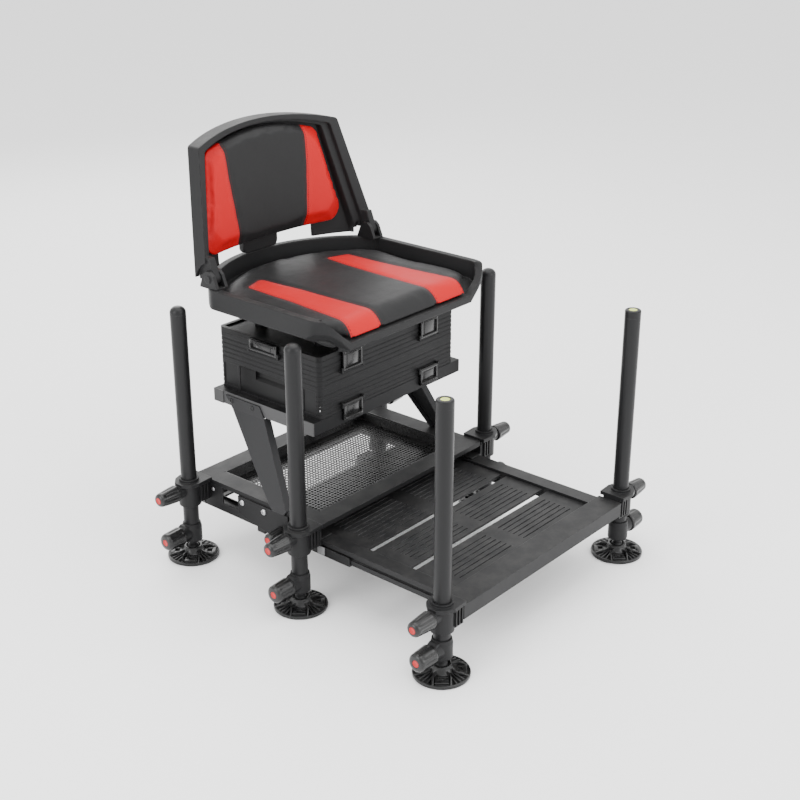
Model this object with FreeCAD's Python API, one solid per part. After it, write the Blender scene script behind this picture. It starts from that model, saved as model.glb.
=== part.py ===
# Fishing seat box on six adjustable legs, with a sliding footplate and a folding swivel seat.
# Millimetres. +X is the sitter's left, -Y is the front (footplate), +Z is up.
# The origin is on the ground, in the middle of the plan outline.
import FreeCAD, Part
import math
import os
from FreeCAD import Vector

# Chassis width, and legs and feet
frame_half_width = 237.0
leg_stand_off = 35.0
leg_half_spacing = frame_half_width + leg_stand_off
leg_radius = 15.0
leg_wall = 2.0
chassis_front_leg_y = 2.0
chassis_rear_leg_y = 294.0
footplate_leg_y = -328.0
leg_bottom_z = 42.0
chassis_leg_top_z = 512.0
footplate_leg_top_z = 503.0
leg_cap_height = 14.0
bore_gap = 0.3
foot_radius = 50.0
foot_edge_height = 6.0
foot_hub_radius = 16.5
foot_hub_top_z = 22.0
foot_web_top_z = 13.0
foot_windows = 6
foot_window_radius = 6.5
foot_window_circle = 33.0
ball_radius = 12.0
ball_z = 16.5
ball_gap = 0.35
neck_radius = 7.0
foot_collar_radius = 19.0
foot_collar_bottom_z = 36.0
foot_collar_top_z = 72.0
foot_lug_length = 29.0
foot_lug_radius = 15.5
foot_lug_web = 18.0
foot_knob_z = 53.0

# Turning knobs: a fluted, tapered grip with a round cap set into its end
knob_length = 45.0
knob_base_radius = 16.5
knob_tip_radius = 13.5
knob_dome = 5.0
knob_flutes = 8
knob_flute_radius = 3.2
knob_cap_radius = 6.5
knob_cap_depth = 2.5
knob_stud_radius = 4.0
knob_stud_length = 9.0
foot_knob_length = 39.0
foot_knob_base_radius = 18.5
foot_knob_tip_radius = 17.0
knob_seat_gap = 0.6

# Leg clamps
clamp_radius = 21.0
clamp_height = 50.0
clamp_flange = 7.0
clamp_flange_reach = 7.0
clamp_half_width = 19.0
clamp_ring_radius = 19.0
clamp_ring_height = 5.0
clamp_lug_length = 32.0
clamp_lug_radius = 13.0
clamp_rib_width = 3.0
chassis_clamp_top_z = 163.0
footplate_clamp_top_z = 138.0
clamp_knob_drop = 17.0
slide_knob_y = 79.0
slide_knob_length = 36.0
slide_knob_z = 108.0
slide_knob_stud = 5.5

# Chassis top frame and mesh basket
frame_front_y = -18.0
frame_rear_y = 314.0
frame_bar = 39.0
frame_top_z = 158.0
frame_depth = 9.0
frame_sheet = 3.0
frame_corner = 7.0
basket_floor_z = 133.0
basket_sheet = 2.0
net_bar = 5.0
net_columns = 22
net_rows = 12

# Lower guide rails that the footplate slides in
guide_outer_x = frame_half_width
guide_width = 37.0
guide_inner_x = guide_outer_x - guide_width
guide_sheet = 2.5
guide_bottom_z = 99.0
guide_low_top_z = 116.0
guide_inner_top_z = 106.0
guide_front_y = -88.0
guide_rear_y = 309.0
guide_lip_z = 128.0
guide_lip_rear_y = 27.0
window_front_y = 194.0
window_rear_y = 240.0
hanger_rear_y = 282.0
cross_bar_width = 22.0
cross_bar_height = 4.0
rest_block_y = 134.0
rest_block_size = 20.0
rest_block_height = 15.0
side_plate_front_y = 62.0
side_plate_sheet = 3.0
side_plate_front_z = 120.0
side_plate_rear_z = 113.0
side_plate_low_z = 97.0
bolt_radius = 3.0
bolt_head_radius = 6.0
bolt_head_height = 3.5
bolt_z = 138.0
bolt_gap = 0.1

# Footplate
rail_side_gap = 3.0
rail_inner_x = guide_inner_x + rail_side_gap
rail_outer_x = guide_outer_x - rail_side_gap
rail_bottom_z = 102.0
rail_top_z = 127.0
rail_rear_y = 154.0
rail_wall = 3.0
rail_groove_width = 7.0
rail_groove_depth = 4.0
bar_half_width = frame_half_width + 4.0
bar_front_y = -350.0
bar_rear_y = -300.0
bar_bottom_z = 100.0
bar_wall = 3.0
plank_thickness = 5.0
plank_gap = 13.0
plank_pitch = 100.0
deck_front_gap = 5.5
deck_rear_y = 152.0
plank_top_z = 121.0
plank_slot_pitch = 11.5
plank_slot_margin = 12.0
plank_slot_width = 3.0
plank_slot_length = 150.0
plank_slot_depth = 1.5
catch_half_width = 39.0
catch_rear_y = -255.0
catch_bottom_z = 92.0
catch_top_z = 104.0
stop_block_width = 34.0
stop_block_depth = 24.0
stop_block_height = 12.0
footplate_travel = 150.0

# Box carrier: rails on two leaning risers
carrier_rail = 25.0
carrier_rail_wall = 2.5
carrier_rail_reach = 17.0
carrier_front_y = 21.0
carrier_rear_y = 281.0
box_bottom_z = 336.0
riser_sheet = 3.5
riser_flange = 16.0
riser_top_front_y = 161.0
riser_top_rear_y = 252.0
riser_bottom_front_y = 60.0
riser_bottom_rear_y = 102.0
riser_bottom_z = 149.5
riser_bend_z = 308.0
riser_head_z = 331.0

# Tackle box: drawer unit, tray and lid
box_half_width = 189.0
carrier_rail_half_length = box_half_width + carrier_rail_reach
box_front_y = 22.0
box_rear_y = 279.0
box_corner = 9.0
box_wall = 3.0
drawer_unit_height = 56.0
tray_height = 54.0
lid_height = 9.0
lid_skirt = 3.0
rib_pitch = 9.0
rib_depth = 0.8
drawer_side_gap = 1.0
drawer_wall = 2.5
drawer_length = 300.0
drawer_travel = 220.0
finger_scoop_width = 75.0
finger_scoop_depth = 6.0
finger_scoop_z = 371.0
hinge_rod_radius = 3.0
hinge_rod_half_length = 150.0
lid_open_angle = 80.0

# Draw latches on the front of the box
clip_width = 50.0
clip_thickness = 6.0
clip_height = 38.0
clip_x = 108.0
clip_pin_radius = 1.8
clip_ear = 4.0
clip_standoff = 1.3
clip_pivot_inset = 2.0
upper_clip_pivot_z = 417.0
lower_clip_pivot_z = 349.0
lower_clip_height = 32.0
end_clip_width = 70.0
end_clip_height = 22.0
end_clip_pivot_z = 434.0
end_clip_mid = -6.0

# Seat support and swivel
mount_plate_half_x = 150.0
mount_plate_half_y = 97.0
mount_plate_sheet = 5.0
mount_pad_height = 18.0
mount_pad_radius = 12.0
swivel_y = 150.0
swivel_radius = 75.0
swivel_height = 10.0
swivel_gap = 0.4
swivel_plate_half = 95.0
swivel_plate_sheet = 4.0

# Seat pan
seat_half_width = 230.0
seat_rear_y = 378.0
seat_rear_radius = seat_half_width + 42.0
seat_front_y = -36.0
seat_front_corner = 42.0
seat_rim_top_z = 541.0
seat_rim_bottom_z = 505.0
seat_wall = 4.0
seat_rim_width = 14.0
seat_pan_z = 503.0
seat_pan_sheet = 3.0
seat_lip_z = 478.0
seat_lip_top_z = 492.0
seat_lip_half = seat_half_width - 64.0
seat_lip_corner_half = seat_half_width - 42.0
seat_lip_corner_z = 509.0
seat_notch_half = seat_half_width - 9.0
seat_sweep_half = seat_half_width - 61.0
seat_sweep_rise = 0.98
seat_sweep_fall = 0.65
seat_bend_y = 8.0
seat_rear_corner = 25.0
seat_cushion_half = seat_half_width - 17.0
seat_cushion_top_z = 521.0
seat_cushion_gap = 0.4
seat_cushion_rear_y = 352.0
seat_cushion_side_y = 243.0
seat_cushion_front_y = -33.0
seat_cushion_front_half = seat_half_width - 66.0
seat_cushion_edge = 6.0
strip_inner_front = 79.0
strip_inner_rear = 88.0
strip_outer_front = 157.0
strip_outer_mid = 142.0
strip_outer_rear = 138.0
strip_rear_y = 261.0
strip_mid_y = 110.0
seam_width = 2.4
seam_depth = 2.5

# Backrest
hinge_y = 259.0
hinge_z = 558.0
hinge_pin_radius = 4.0
cheek_sheet = 6.5
tongue_thickness = 14.0
tongue_x = seat_half_width - 24.5
cheek_gap = 0.5
back_top_z = 803.0
back_corner_z = 780.0
back_top_half = seat_half_width - 49.0
back_low_half = seat_half_width - 3.0
back_low_z = 567.0
back_bottom_z = 572.0
arm_bottom_z = 546.0
tab_bottom_z = 543.5
tab_front_y = 357.0
tab_rear_y = 369.0
back_low_y = 322.0
back_top_y = 344.0
back_low_sweep = 60.0
back_top_sweep = 28.0
back_thickness = 30.0
back_deep_low = 13.0
back_deep_top = 2.0
back_wall = 5.0
back_rim = 18.0
back_top_rim = 9.0
back_floor_inset = 31.0
back_step_depth = 10.0
back_corner_radius = 8.0
back_cushion_inset = 35.0
back_cushion_top_inset = 14.0
back_cushion_low_y = 320.0
back_cushion_top_y = 338.0
back_cushion_low_sweep = 36.0
back_cushion_top_sweep = 3.0
back_cushion_corner = 22.0
back_cushion_low_corner = 34.0
back_cushion_edge = 4.0
back_seam_top = 107.0
back_seam_low = 85.0
back_fold_angle = 95.0
tab_half_width = 46.0
back_gap_outer_x = 127.0
back_cut_front_y = hinge_y - 60.0
back_cut_rear_y = seat_rear_y + 42.0
back_cut_depth = back_cut_rear_y - back_cut_front_y
tongue_clearance = 60.0


def box(x0, x1, y0, y1, z0, z1):
    return Part.makeBox(x1 - x0, y1 - y0, z1 - z0, Vector(x0, y0, z0))


def rod(x, y, z0, z1, radius):
    return Part.makeCylinder(radius, z1 - z0, Vector(x, y, z0))


def rod_x(x0, x1, y, z, radius):
    return Part.makeCylinder(radius, x1 - x0, Vector(x0, y, z), Vector(1, 0, 0))


def prism(points, direction):
    wire = Part.makePolygon([Vector(*p) for p in points] + [Vector(*points[0])])
    return Part.Face(wire).extrude(direction)


def mirrored(shape):
    return shape.mirror(Vector(0, 0, 0), Vector(1, 0, 0))


def upright_edges(shape, low=0.0):
    return [e for e in shape.Edges
            if e.BoundBox.XLength < 0.01 and e.BoundBox.YLength < 0.01 and e.BoundBox.ZLength > low]


def rounded_box(x0, x1, y0, y1, z0, z1, radius):
    block = box(x0, x1, y0, y1, z0, z1)
    return block.makeFillet(radius, upright_edges(block))


def save(name, *solids):
    shape = solids[0] if len(solids) == 1 else Part.makeCompound(list(solids))
    for solid in shape.Solids:
        if not solid.isValid() or solid.Volume < 1.0:
            raise ValueError(name + " has a bad solid")
    shape.exportStep("parts/" + name + ".step")


def knob(length, base_radius, tip_radius, stud_length):
    # The grip lies along +X from x = 0, with its stud reaching to -X
    profile = [Vector(0, 0, 0), Vector(0, base_radius - 2, 0), Vector(2, base_radius, 0),
               Vector(length - knob_dome, tip_radius, 0)]
    dome_mid = Vector(length - 0.3 * knob_dome, tip_radius - 0.35 * knob_dome, 0)
    dome_end = Vector(length, tip_radius - knob_dome, 0)
    edges = [Part.makeLine(profile[i], profile[i + 1]) for i in range(3)]
    edges.append(Part.Arc(profile[3], dome_mid, dome_end).toShape())
    edges.append(Part.makeLine(dome_end, Vector(length, 0, 0)))
    edges.append(Part.makeLine(Vector(length, 0, 0), profile[0]))
    grip = Part.Face(Part.Wire(edges)).revolve(Vector(0, 0, 0), Vector(1, 0, 0), 360)
    for i in range(knob_flutes):
        angle = 2 * math.pi * i / knob_flutes
        reach = base_radius + 0.35 * knob_flute_radius
        lean = base_radius - tip_radius
        start = Vector(5, reach * math.cos(angle), reach * math.sin(angle))
        way = Vector(length, -lean * math.cos(angle), -lean * math.sin(angle))
        grip = grip.cut(Part.makeCylinder(knob_flute_radius, way.Length, start, way))
    pocket = rod_x(length - knob_cap_depth, length + 1, 0, 0, knob_cap_radius)
    grip = grip.cut(pocket)
    grip = grip.fuse(rod_x(-stud_length, 0.5, 0, 0, knob_stud_radius)).removeSplitter()
    cap = rod_x(length - knob_cap_depth, length, 0, 0, knob_cap_radius)
    return [grip.Solids[0], cap]


def placed_knob(pieces, x, y, z):
    # A knob at negative X is the mirror of one at positive X
    moved = []
    for piece in pieces:
        copy = piece.copy()
        copy.translate(Vector(abs(x), y, z))
        moved.append(mirrored(copy) if x < 0 else copy)
    return moved


def leg(x, y, top_z, bullseye):
    tube = rod(x, y, leg_bottom_z, top_z - leg_cap_height, leg_radius)
    tube = tube.cut(rod(x, y, leg_bottom_z - 1, top_z, leg_radius - leg_wall))
    cap = rod(x, y, top_z - leg_cap_height, top_z, leg_radius)
    plug = rod(x, y, top_z - leg_cap_height - 12, top_z - leg_cap_height, leg_radius - leg_wall)
    cap = cap.fuse(plug).removeSplitter()
    top_edges = [e for e in cap.Edges if abs(e.BoundBox.ZMin - top_z) < 0.01 and abs(e.BoundBox.ZMax - top_z) < 0.01]
    cap = cap.makeFillet(3.0 if bullseye else leg_radius - 3.0, top_edges)
    if bullseye:
        cap = cap.cut(rod(x, y, top_z - 2, top_z + 1, leg_radius * 0.55))
    return [tube, cap]


def foot_collar(x, y):
    side = 1 if x > 0 else -1
    body = rod(x, y, foot_collar_bottom_z, foot_collar_top_z - 8, foot_collar_radius)
    shoulder = Part.makeCone(foot_collar_radius, leg_radius + 2.2, 8, Vector(x, y, foot_collar_top_z - 8))
    lug_end = x + side * foot_lug_length
    lug = rod_x(min(x, lug_end), max(x, lug_end), y, foot_knob_z, foot_lug_radius)
    web = foot_lug_web / 2
    gusset = prism([(x, y - web, foot_knob_z), (x, y - web, foot_collar_top_z - 1),
                    (x + side * (foot_collar_radius + 3), y - web, foot_collar_top_z - 1),
                    (lug_end, y - web, foot_knob_z + foot_lug_radius - 2), (lug_end, y - web, foot_knob_z)],
                   Vector(0, foot_lug_web, 0))
    ball = Part.makeSphere(ball_radius, Vector(x, y, ball_z))
    neck = rod(x, y, ball_z, foot_collar_bottom_z + 2, neck_radius)
    whole = body.fuse([shoulder, lug, gusset, ball, neck]).removeSplitter()
    whole = whole.cut(rod(x, y, leg_bottom_z, foot_collar_top_z + 1, leg_radius))
    return whole.cut(stud_hole(lug_end, side, y, foot_knob_z))


def stud_hole(x_face, side, y, z):
    reach = knob_stud_length + 1.5
    x_in = x_face - side * reach
    x_out = x_face + side * 2
    return rod_x(min(x_in, x_out), max(x_in, x_out), y, z, knob_stud_radius + bore_gap)


def foot_disc(x, y):
    profile = [(foot_hub_radius - 2, 0), (foot_radius - 1.5, 0), (foot_radius, 1.5), (foot_radius, foot_edge_height),
               (foot_radius - 3, foot_edge_height + 1.5), (foot_hub_radius + 5, foot_web_top_z),
               (foot_hub_radius, foot_hub_top_z), (0, foot_hub_top_z), (0, 0)]
    wire = Part.makePolygon([Vector(x + r, y, z) for r, z in profile + profile[:1]])
    plate = Part.Face(wire).revolve(Vector(x, y, 0), Vector(0, 0, 1), 360)
    plate = plate.cut(Part.makeSphere(ball_radius + ball_gap, Vector(x, y, ball_z)))
    mouth = Part.makeCone(ball_radius * 0.8, ball_radius * 0.92, foot_hub_top_z - ball_z,
                          Vector(x, y, ball_z + 0.5))
    plate = plate.cut(mouth)
    for i in range(foot_windows):
        angle = 2 * math.pi * (i + 0.5) / foot_windows
        cx = x + foot_window_circle * math.cos(angle)
        cy = y + foot_window_circle * math.sin(angle)
        plate = plate.cut(rod(cx, cy, -1, foot_hub_top_z, foot_window_radius))
    return plate


def leg_clamp(x, y, top_z, bar_x):
    # Moulded clamp on the leg, with its arm reaching in to the bar end at bar_x
    side = 1 if x > 0 else -1
    low = top_z - clamp_height
    sleeve = rod(x, y, low, top_z, clamp_radius)
    arm = box(min(side * bar_x, x), max(side * bar_x, x), y - clamp_half_width, y + clamp_half_width,
              low + 4, top_z - clamp_flange)
    reach = clamp_flange_reach
    flange_points = [(side * bar_x, y - clamp_half_width - reach), (x, y - clamp_radius - reach),
                     (x + side * (clamp_radius * 0.7), y - clamp_radius * 0.75 - reach),
                     (x + side * (clamp_radius + reach), y - 9), (x + side * (clamp_radius + reach), y + 9),
                     (x + side * (clamp_radius * 0.7), y + clamp_radius * 0.75 + reach),
                     (x, y + clamp_radius + reach), (side * bar_x, y + clamp_half_width + reach)]
    flange = prism([(px, py, top_z - clamp_flange) for px, py in flange_points], Vector(0, 0, clamp_flange))
    knob_z = top_z - clamp_knob_drop
    lug_end = x + side * clamp_lug_length
    lug = rod_x(min(x, lug_end), max(x, lug_end), y, knob_z, clamp_lug_radius)
    ring = rod(x, y, top_z - 1, top_z + clamp_ring_height, clamp_ring_radius)
    whole = sleeve.fuse([arm, flange, lug, ring])
    for i in (-1, 0, 1):
        # Three upright ribs on the front of the arm
        rib_x = x - side * (10 + 8 * (i + 1))
        rib = box(rib_x - clamp_rib_width / 2, rib_x + clamp_rib_width / 2, y - clamp_half_width - 4, y,
                  low + 8, top_z - clamp_flange)
        whole = whole.fuse(rib)
    whole = whole.removeSplitter()
    whole = whole.cut(rod(x, y, low - 1, top_z + clamp_ring_height + 1, leg_radius + bore_gap))
    return whole.cut(stud_hole(lug_end, side, y, knob_z)).Solids[0]


os.makedirs("parts", exist_ok=True)
legs = {
    "front_left": (leg_half_spacing, chassis_front_leg_y, chassis_leg_top_z, chassis_clamp_top_z, frame_half_width),
    "front_right": (-leg_half_spacing, chassis_front_leg_y, chassis_leg_top_z, chassis_clamp_top_z, frame_half_width),
    "rear_left": (leg_half_spacing, chassis_rear_leg_y, chassis_leg_top_z, chassis_clamp_top_z, frame_half_width),
    "rear_right": (-leg_half_spacing, chassis_rear_leg_y, chassis_leg_top_z, chassis_clamp_top_z, frame_half_width),
    "footplate_left": (leg_half_spacing, footplate_leg_y, footplate_leg_top_z, footplate_clamp_top_z, bar_half_width),
    "footplate_right": (-leg_half_spacing, footplate_leg_y, footplate_leg_top_z, footplate_clamp_top_z, bar_half_width),
}
places = {name: (x, y, leg_clamp(x, y, clamp_z, bar_x), clamp_z) for name, (x, y, _, clamp_z, bar_x) in legs.items()}
clamp_knob = knob(knob_length, knob_base_radius, knob_tip_radius, knob_stud_length)
foot_knob = knob(foot_knob_length, foot_knob_base_radius, foot_knob_tip_radius, knob_stud_length)
slide_knob = knob(slide_knob_length, knob_base_radius - 2, knob_tip_radius - 1, slide_knob_stud)
for name, (x, y, top_z, clamp_z, bar_x) in legs.items():
    side = 1 if x > 0 else -1
    save("leg_" + name, *leg(x, y, top_z, name.startswith("footplate")))
    save("foot_collar_" + name, foot_collar(x, y))
    save("foot_disc_" + name, foot_disc(x, y))
    knob_x = side * (leg_half_spacing + clamp_lug_length + knob_seat_gap)
    save("clamp_knob_" + name, *placed_knob(clamp_knob, knob_x, y, clamp_z - clamp_knob_drop))
    knob_x = side * (leg_half_spacing + foot_lug_length + knob_seat_gap)
    save("foot_knob_" + name, *placed_knob(foot_knob, knob_x, y, foot_knob_z))
save("chassis_clamps", *[places[n][2] for n in places if not n.startswith("footplate")])
save("footplate_clamps", *[places[n][2] for n in places if n.startswith("footplate")])


# Chassis frame: a pressed ring, open underneath
inner_x = frame_half_width - frame_bar
inner_front_y = frame_front_y + frame_bar
inner_rear_y = frame_rear_y - frame_bar
frame_low_z = frame_top_z - frame_depth
frame = rounded_box(-frame_half_width, frame_half_width, frame_front_y, frame_rear_y,
                    frame_low_z, frame_top_z, frame_corner)
frame = frame.cut(box(-inner_x, inner_x, inner_front_y, inner_rear_y, frame_low_z - 1, frame_top_z + 1))
under = box(-frame_half_width + frame_sheet, frame_half_width - frame_sheet, frame_front_y + frame_sheet,
            frame_rear_y - frame_sheet, frame_low_z - 1, frame_top_z - frame_sheet)
under = under.cut(box(-inner_x - frame_sheet, inner_x + frame_sheet, inner_front_y - frame_sheet,
                      inner_rear_y + frame_sheet, frame_low_z - 2, frame_top_z))
save("chassis_frame", frame.cut(under))


# Mesh basket hung in the frame opening
sheet = basket_sheet
floor_top_z = basket_floor_z + sheet
walls = box(-inner_x, inner_x, inner_front_y, inner_rear_y, floor_top_z, frame_top_z)
walls = walls.cut(box(-inner_x + sheet, inner_x - sheet, inner_front_y + sheet, inner_rear_y - sheet,
                      basket_floor_z, frame_top_z + 1))
net = box(-inner_x, inner_x, inner_front_y, inner_rear_y, basket_floor_z, floor_top_z)
net_x0, net_x1 = -inner_x + 2 * sheet + net_bar, inner_x - 2 * sheet - net_bar
net_y0, net_y1 = inner_front_y + 2 * sheet + net_bar, inner_rear_y - 2 * sheet - net_bar
pitch_x = (net_x1 - net_x0) / net_columns
pitch_y = (net_y1 - net_y0) / net_rows
holes = []
for i in range(net_columns):
    for j in range(net_rows):
        mid_x = net_x0 + (i + 0.5) * pitch_x
        mid_y = net_y0 + (j + 0.5) * pitch_y
        half_x, half_y = (pitch_x - net_bar) / 2, (pitch_y - net_bar) / 2
        low = basket_floor_z - 1
        holes.append(box(mid_x - half_x, mid_x + half_x, mid_y - half_y, mid_y + half_y, low, low + 2 * sheet))
save("mesh_basket", walls, net.cut(Part.makeCompound(holes)).Solids[0])


# Guide rails under the frame, tied by cross bars
def guide_rail():
    x0, x1, t = guide_inner_x, guide_outer_x, guide_sheet
    y0, y1, z0 = guide_front_y, guide_rear_y, guide_bottom_z
    floor = box(x0, x1, y0, y1, z0, z0 + t)
    inner = box(x0, x0 + t, y0, y1, z0, guide_inner_top_z)
    outer = box(x1 - t, x1, y0, y1, z0, guide_low_top_z)
    tall = box(x1 - t, x1, frame_front_y, window_front_y, z0, frame_low_z)
    hanger = box(x1 - t, x1, window_rear_y, hanger_rear_y, z0, frame_low_z)
    lip = box(rail_inner_x + 3, x1, frame_front_y, guide_lip_rear_y, guide_lip_z, guide_lip_z + t)
    end = box(x0, x1, y1, y1 + t, z0, guide_low_top_z)
    return floor.fuse([inner, outer, tall, hanger, lip, end]).removeSplitter()


def bolt_holes(positions, x0, x1):
    return [rod_x(x0 - 1, x1 + 1, y, z, bolt_radius + bolt_gap) for y, z in positions]


plate_outer_x = guide_outer_x + side_plate_sheet
plate_bolts = [(window_front_y - 12, bolt_z), (window_front_y - 70, bolt_z)]
hanger_rivet = [(hanger_rear_y - 16, bolt_z)]
slide_knob_hole = rod_x(guide_outer_x - guide_sheet - 1, plate_outer_x + 1, slide_knob_y, slide_knob_z,
                        knob_stud_radius + bore_gap)
rail_left = guide_rail()
for hole in bolt_holes(plate_bolts + hanger_rivet, guide_outer_x - guide_sheet, guide_outer_x) + [slide_knob_hole]:
    rail_left = rail_left.cut(hole)
low_cross_z = guide_bottom_z
cross_bars = [box(-guide_inner_x, guide_inner_x, y, y + cross_bar_width, low_cross_z, low_cross_z + cross_bar_height)
              for y in (guide_front_y + 20, guide_rear_y - cross_bar_width - 6)]
shelf_top = basket_floor_z
shelf_half = guide_outer_x - guide_sheet
shelf_bars = [box(-shelf_half, shelf_half, y, y + cross_bar_width, shelf_top - cross_bar_height, shelf_top)
              for y in (inner_front_y + 8, hanger_rear_y - cross_bar_width - 8)]
block = box(guide_inner_x + 10, guide_inner_x + 10 + rest_block_size, rest_block_y, rest_block_y + rest_block_size,
            guide_bottom_z - rest_block_height, guide_bottom_z)
save("guide_rails", rail_left, mirrored(rail_left), *cross_bars, *shelf_bars, block, mirrored(block))


# Side plates and their bolts
plate = prism([(guide_outer_x, side_plate_front_y, frame_low_z - 0.2),
               (guide_outer_x, side_plate_front_y, side_plate_front_z),
               (guide_outer_x, side_plate_front_y + 52, side_plate_low_z),
               (guide_outer_x, window_front_y - 30, side_plate_low_z + 7),
               (guide_outer_x, window_front_y, side_plate_rear_z),
               (guide_outer_x, window_front_y, frame_low_z - 0.2)], Vector(side_plate_sheet, 0, 0))
for hole in bolt_holes(plate_bolts, guide_outer_x, plate_outer_x) + [slide_knob_hole]:
    plate = plate.cut(hole)
save("side_plates", plate, mirrored(plate))


def bolt(x_face, depth, y, z, radius=bolt_head_radius, height=bolt_head_height):
    head = rod_x(x_face, x_face + height, y, z, radius)
    rim = [e for e in head.Edges if abs(e.BoundBox.XMin - x_face - height) < 0.01]
    head = head.makeFillet(height * 0.45, rim)
    return head.fuse(rod_x(x_face - depth, x_face + 1, y, z, bolt_radius)).removeSplitter()


riser_low_outer_x = guide_outer_x + 0.5 + riser_sheet
riser_top_outer_x = carrier_rail_half_length + riser_sheet
riser_bolts = [(riser_top_front_y + 16, box_bottom_z - 13), (riser_top_rear_y - 20, box_bottom_z - 13)]
bolts = [bolt(plate_outer_x, side_plate_sheet + guide_sheet + 2, y, z) for y, z in plate_bolts]
bolts += [bolt(guide_outer_x, guide_sheet + 1, y, z, 4.0, 2.0) for y, z in hanger_rivet]
bolts += [bolt(riser_top_outer_x, riser_sheet + carrier_rail_wall, y, z, 5.0, 2.0) for y, z in riser_bolts]


# Risers: folded sheet channels that lean forward and outward from the carrier to the frame
def riser():
    top_z, head_z, bend_z, foot_z = box_bottom_z, riser_head_z, riser_bend_z, frame_top_z
    drop = box_bottom_z - riser_bottom_z

    def front(z):
        return riser_top_front_y + (riser_bottom_front_y - riser_top_front_y) * (top_z - z) / drop

    def rear(z):
        return riser_top_rear_y + (riser_bottom_rear_y - riser_top_rear_y) * (top_z - z) / drop

    def channel(x, z):
        y0, y1, t, deep = front(z), rear(z), riser_sheet, riser_flange
        points = [(x, y0), (x, y1), (x - deep, y1), (x - deep, y1 - t), (x - t, y1 - t),
                  (x - t, y0 + t), (x - deep, y0 + t), (x - deep, y0)]
        return Part.makePolygon([Vector(px, py, z) for px, py in points + points[:1]])

    web = Part.makeLoft([channel(riser_top_outer_x, bend_z), channel(riser_low_outer_x, foot_z)], True, True)
    head = prism([(riser_top_outer_x - riser_sheet, y, z) for y, z in
                  ((front(bend_z), bend_z), (front(head_z), head_z), (rear(head_z), head_z), (rear(bend_z), bend_z))],
                 Vector(riser_sheet, 0, 0))
    tail_x = riser_low_outer_x - riser_sheet
    tail = prism([(tail_x, y, z) for y, z in
                  ((front(foot_z), foot_z), (rear(foot_z), foot_z), (rear(foot_z) - 8, riser_bottom_z),
                   (front(foot_z) + 6, riser_bottom_z))], Vector(riser_sheet, 0, 0))
    whole = web.fuse([head, tail]).removeSplitter()
    for hole in bolt_holes(riser_bolts, riser_top_outer_x - riser_sheet, riser_top_outer_x):
        whole = whole.cut(hole)
    return whole


riser_left = riser()
save("risers", riser_left, mirrored(riser_left))
save("fasteners", *bolts, *[mirrored(b) for b in bolts])


# Carrier: square tubes under the box
def square_tube(x0, x1, y0, y1, z0, z1, along_x):
    t = carrier_rail_wall
    outer = box(x0, x1, y0, y1, z0, z1)
    if along_x:
        return outer.cut(box(x0 - 1, x1 + 1, y0 + t, y1 - t, z0 + t, z1 - t))
    return outer.cut(box(x0 + t, x1 - t, y0 - 1, y1 + 1, z0 + t, z1 - t))


half, low, high = carrier_rail_half_length, box_bottom_z - carrier_rail, box_bottom_z
front_rail = square_tube(-half, half, carrier_front_y, carrier_front_y + carrier_rail, low, high, True)
rear_rail = square_tube(-half, half, carrier_rear_y - carrier_rail, carrier_rear_y, low, high, True)
side_rail = square_tube(half - carrier_rail, half, carrier_front_y + carrier_rail, carrier_rear_y - carrier_rail,
                        low, high, False)
for hole in bolt_holes(riser_bolts, half - carrier_rail_wall, half):
    side_rail = side_rail.cut(hole)
plugs = [box(half, half + 2, y, y + carrier_rail, low, high) for y in (carrier_front_y, carrier_rear_y - carrier_rail)]
save("carrier_rails", front_rail, rear_rail, side_rail, mirrored(side_rail), *plugs, *[mirrored(p) for p in plugs])


# Tackle box
def box_block(z0, z1, inset=0.0):
    return rounded_box(-box_half_width + inset, box_half_width - inset, box_front_y + inset, box_rear_y - inset,
                       z0, z1, box_corner - inset)


def ribbed(shape, z0, z1, keep):
    count = int((z1 - z0 - 6) / rib_pitch)
    for i in range(count):
        z = z0 + 6 + i * rib_pitch
        groove = box_block(z, z + rib_pitch * 0.45).cut(box_block(z - 1, z + rib_pitch, rib_depth))
        shape = shape.cut(groove.cut(keep) if keep else groove)
    return shape


def clip_ears(mid, pivot_z, face, width=clip_width):
    # Two ears on the wall that hold the clip's pin; mid is along the wall, face is the wall's outer plane
    reach = clip_standoff + clip_thickness
    ears = []
    for s in (-1, 1):
        near = mid + s * (width / 2 + 0.4)
        far = near + s * clip_ear
        ear = box(min(near, far), max(near, far), face - reach, face, pivot_z - 5, pivot_z + 5)
        ears.append(ear.cut(rod_x(mid - width, mid + width, face - clip_standoff - clip_thickness / 2,
                                  pivot_z, clip_pin_radius + 0.25)))
    return ears


def clip(mid, pivot_z, face, way, width=clip_width, height=clip_height):
    # Draw latch plate; way is +1 when it rises from its pin and -1 when it hangs
    y1 = face - clip_standoff
    y0 = y1 - clip_thickness
    near = pivot_z - way * clip_pivot_inset
    far = near + way * height
    x0, x1 = mid - width / 2, mid + width / 2
    plate = box(x0, x1, y0, y1, min(near, far), max(near, far))
    window_z = (near + far) / 2 + way * height * 0.08
    window = height * 0.18
    plate = plate.cut(box(x0 + 9, x1 - 9, y0 - 1, y0 + 2.5, window_z - window, window_z + window))
    grip = box(x0 + 4, x1 - 4, y0 - 3, y0, far - 5 if way > 0 else far, far if way > 0 else far + 5)
    pin = rod_x(x0 - clip_ear, x1 + clip_ear, (y0 + y1) / 2, pivot_z, clip_pin_radius)
    return plate.fuse([grip, pin]).removeSplitter()


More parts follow.
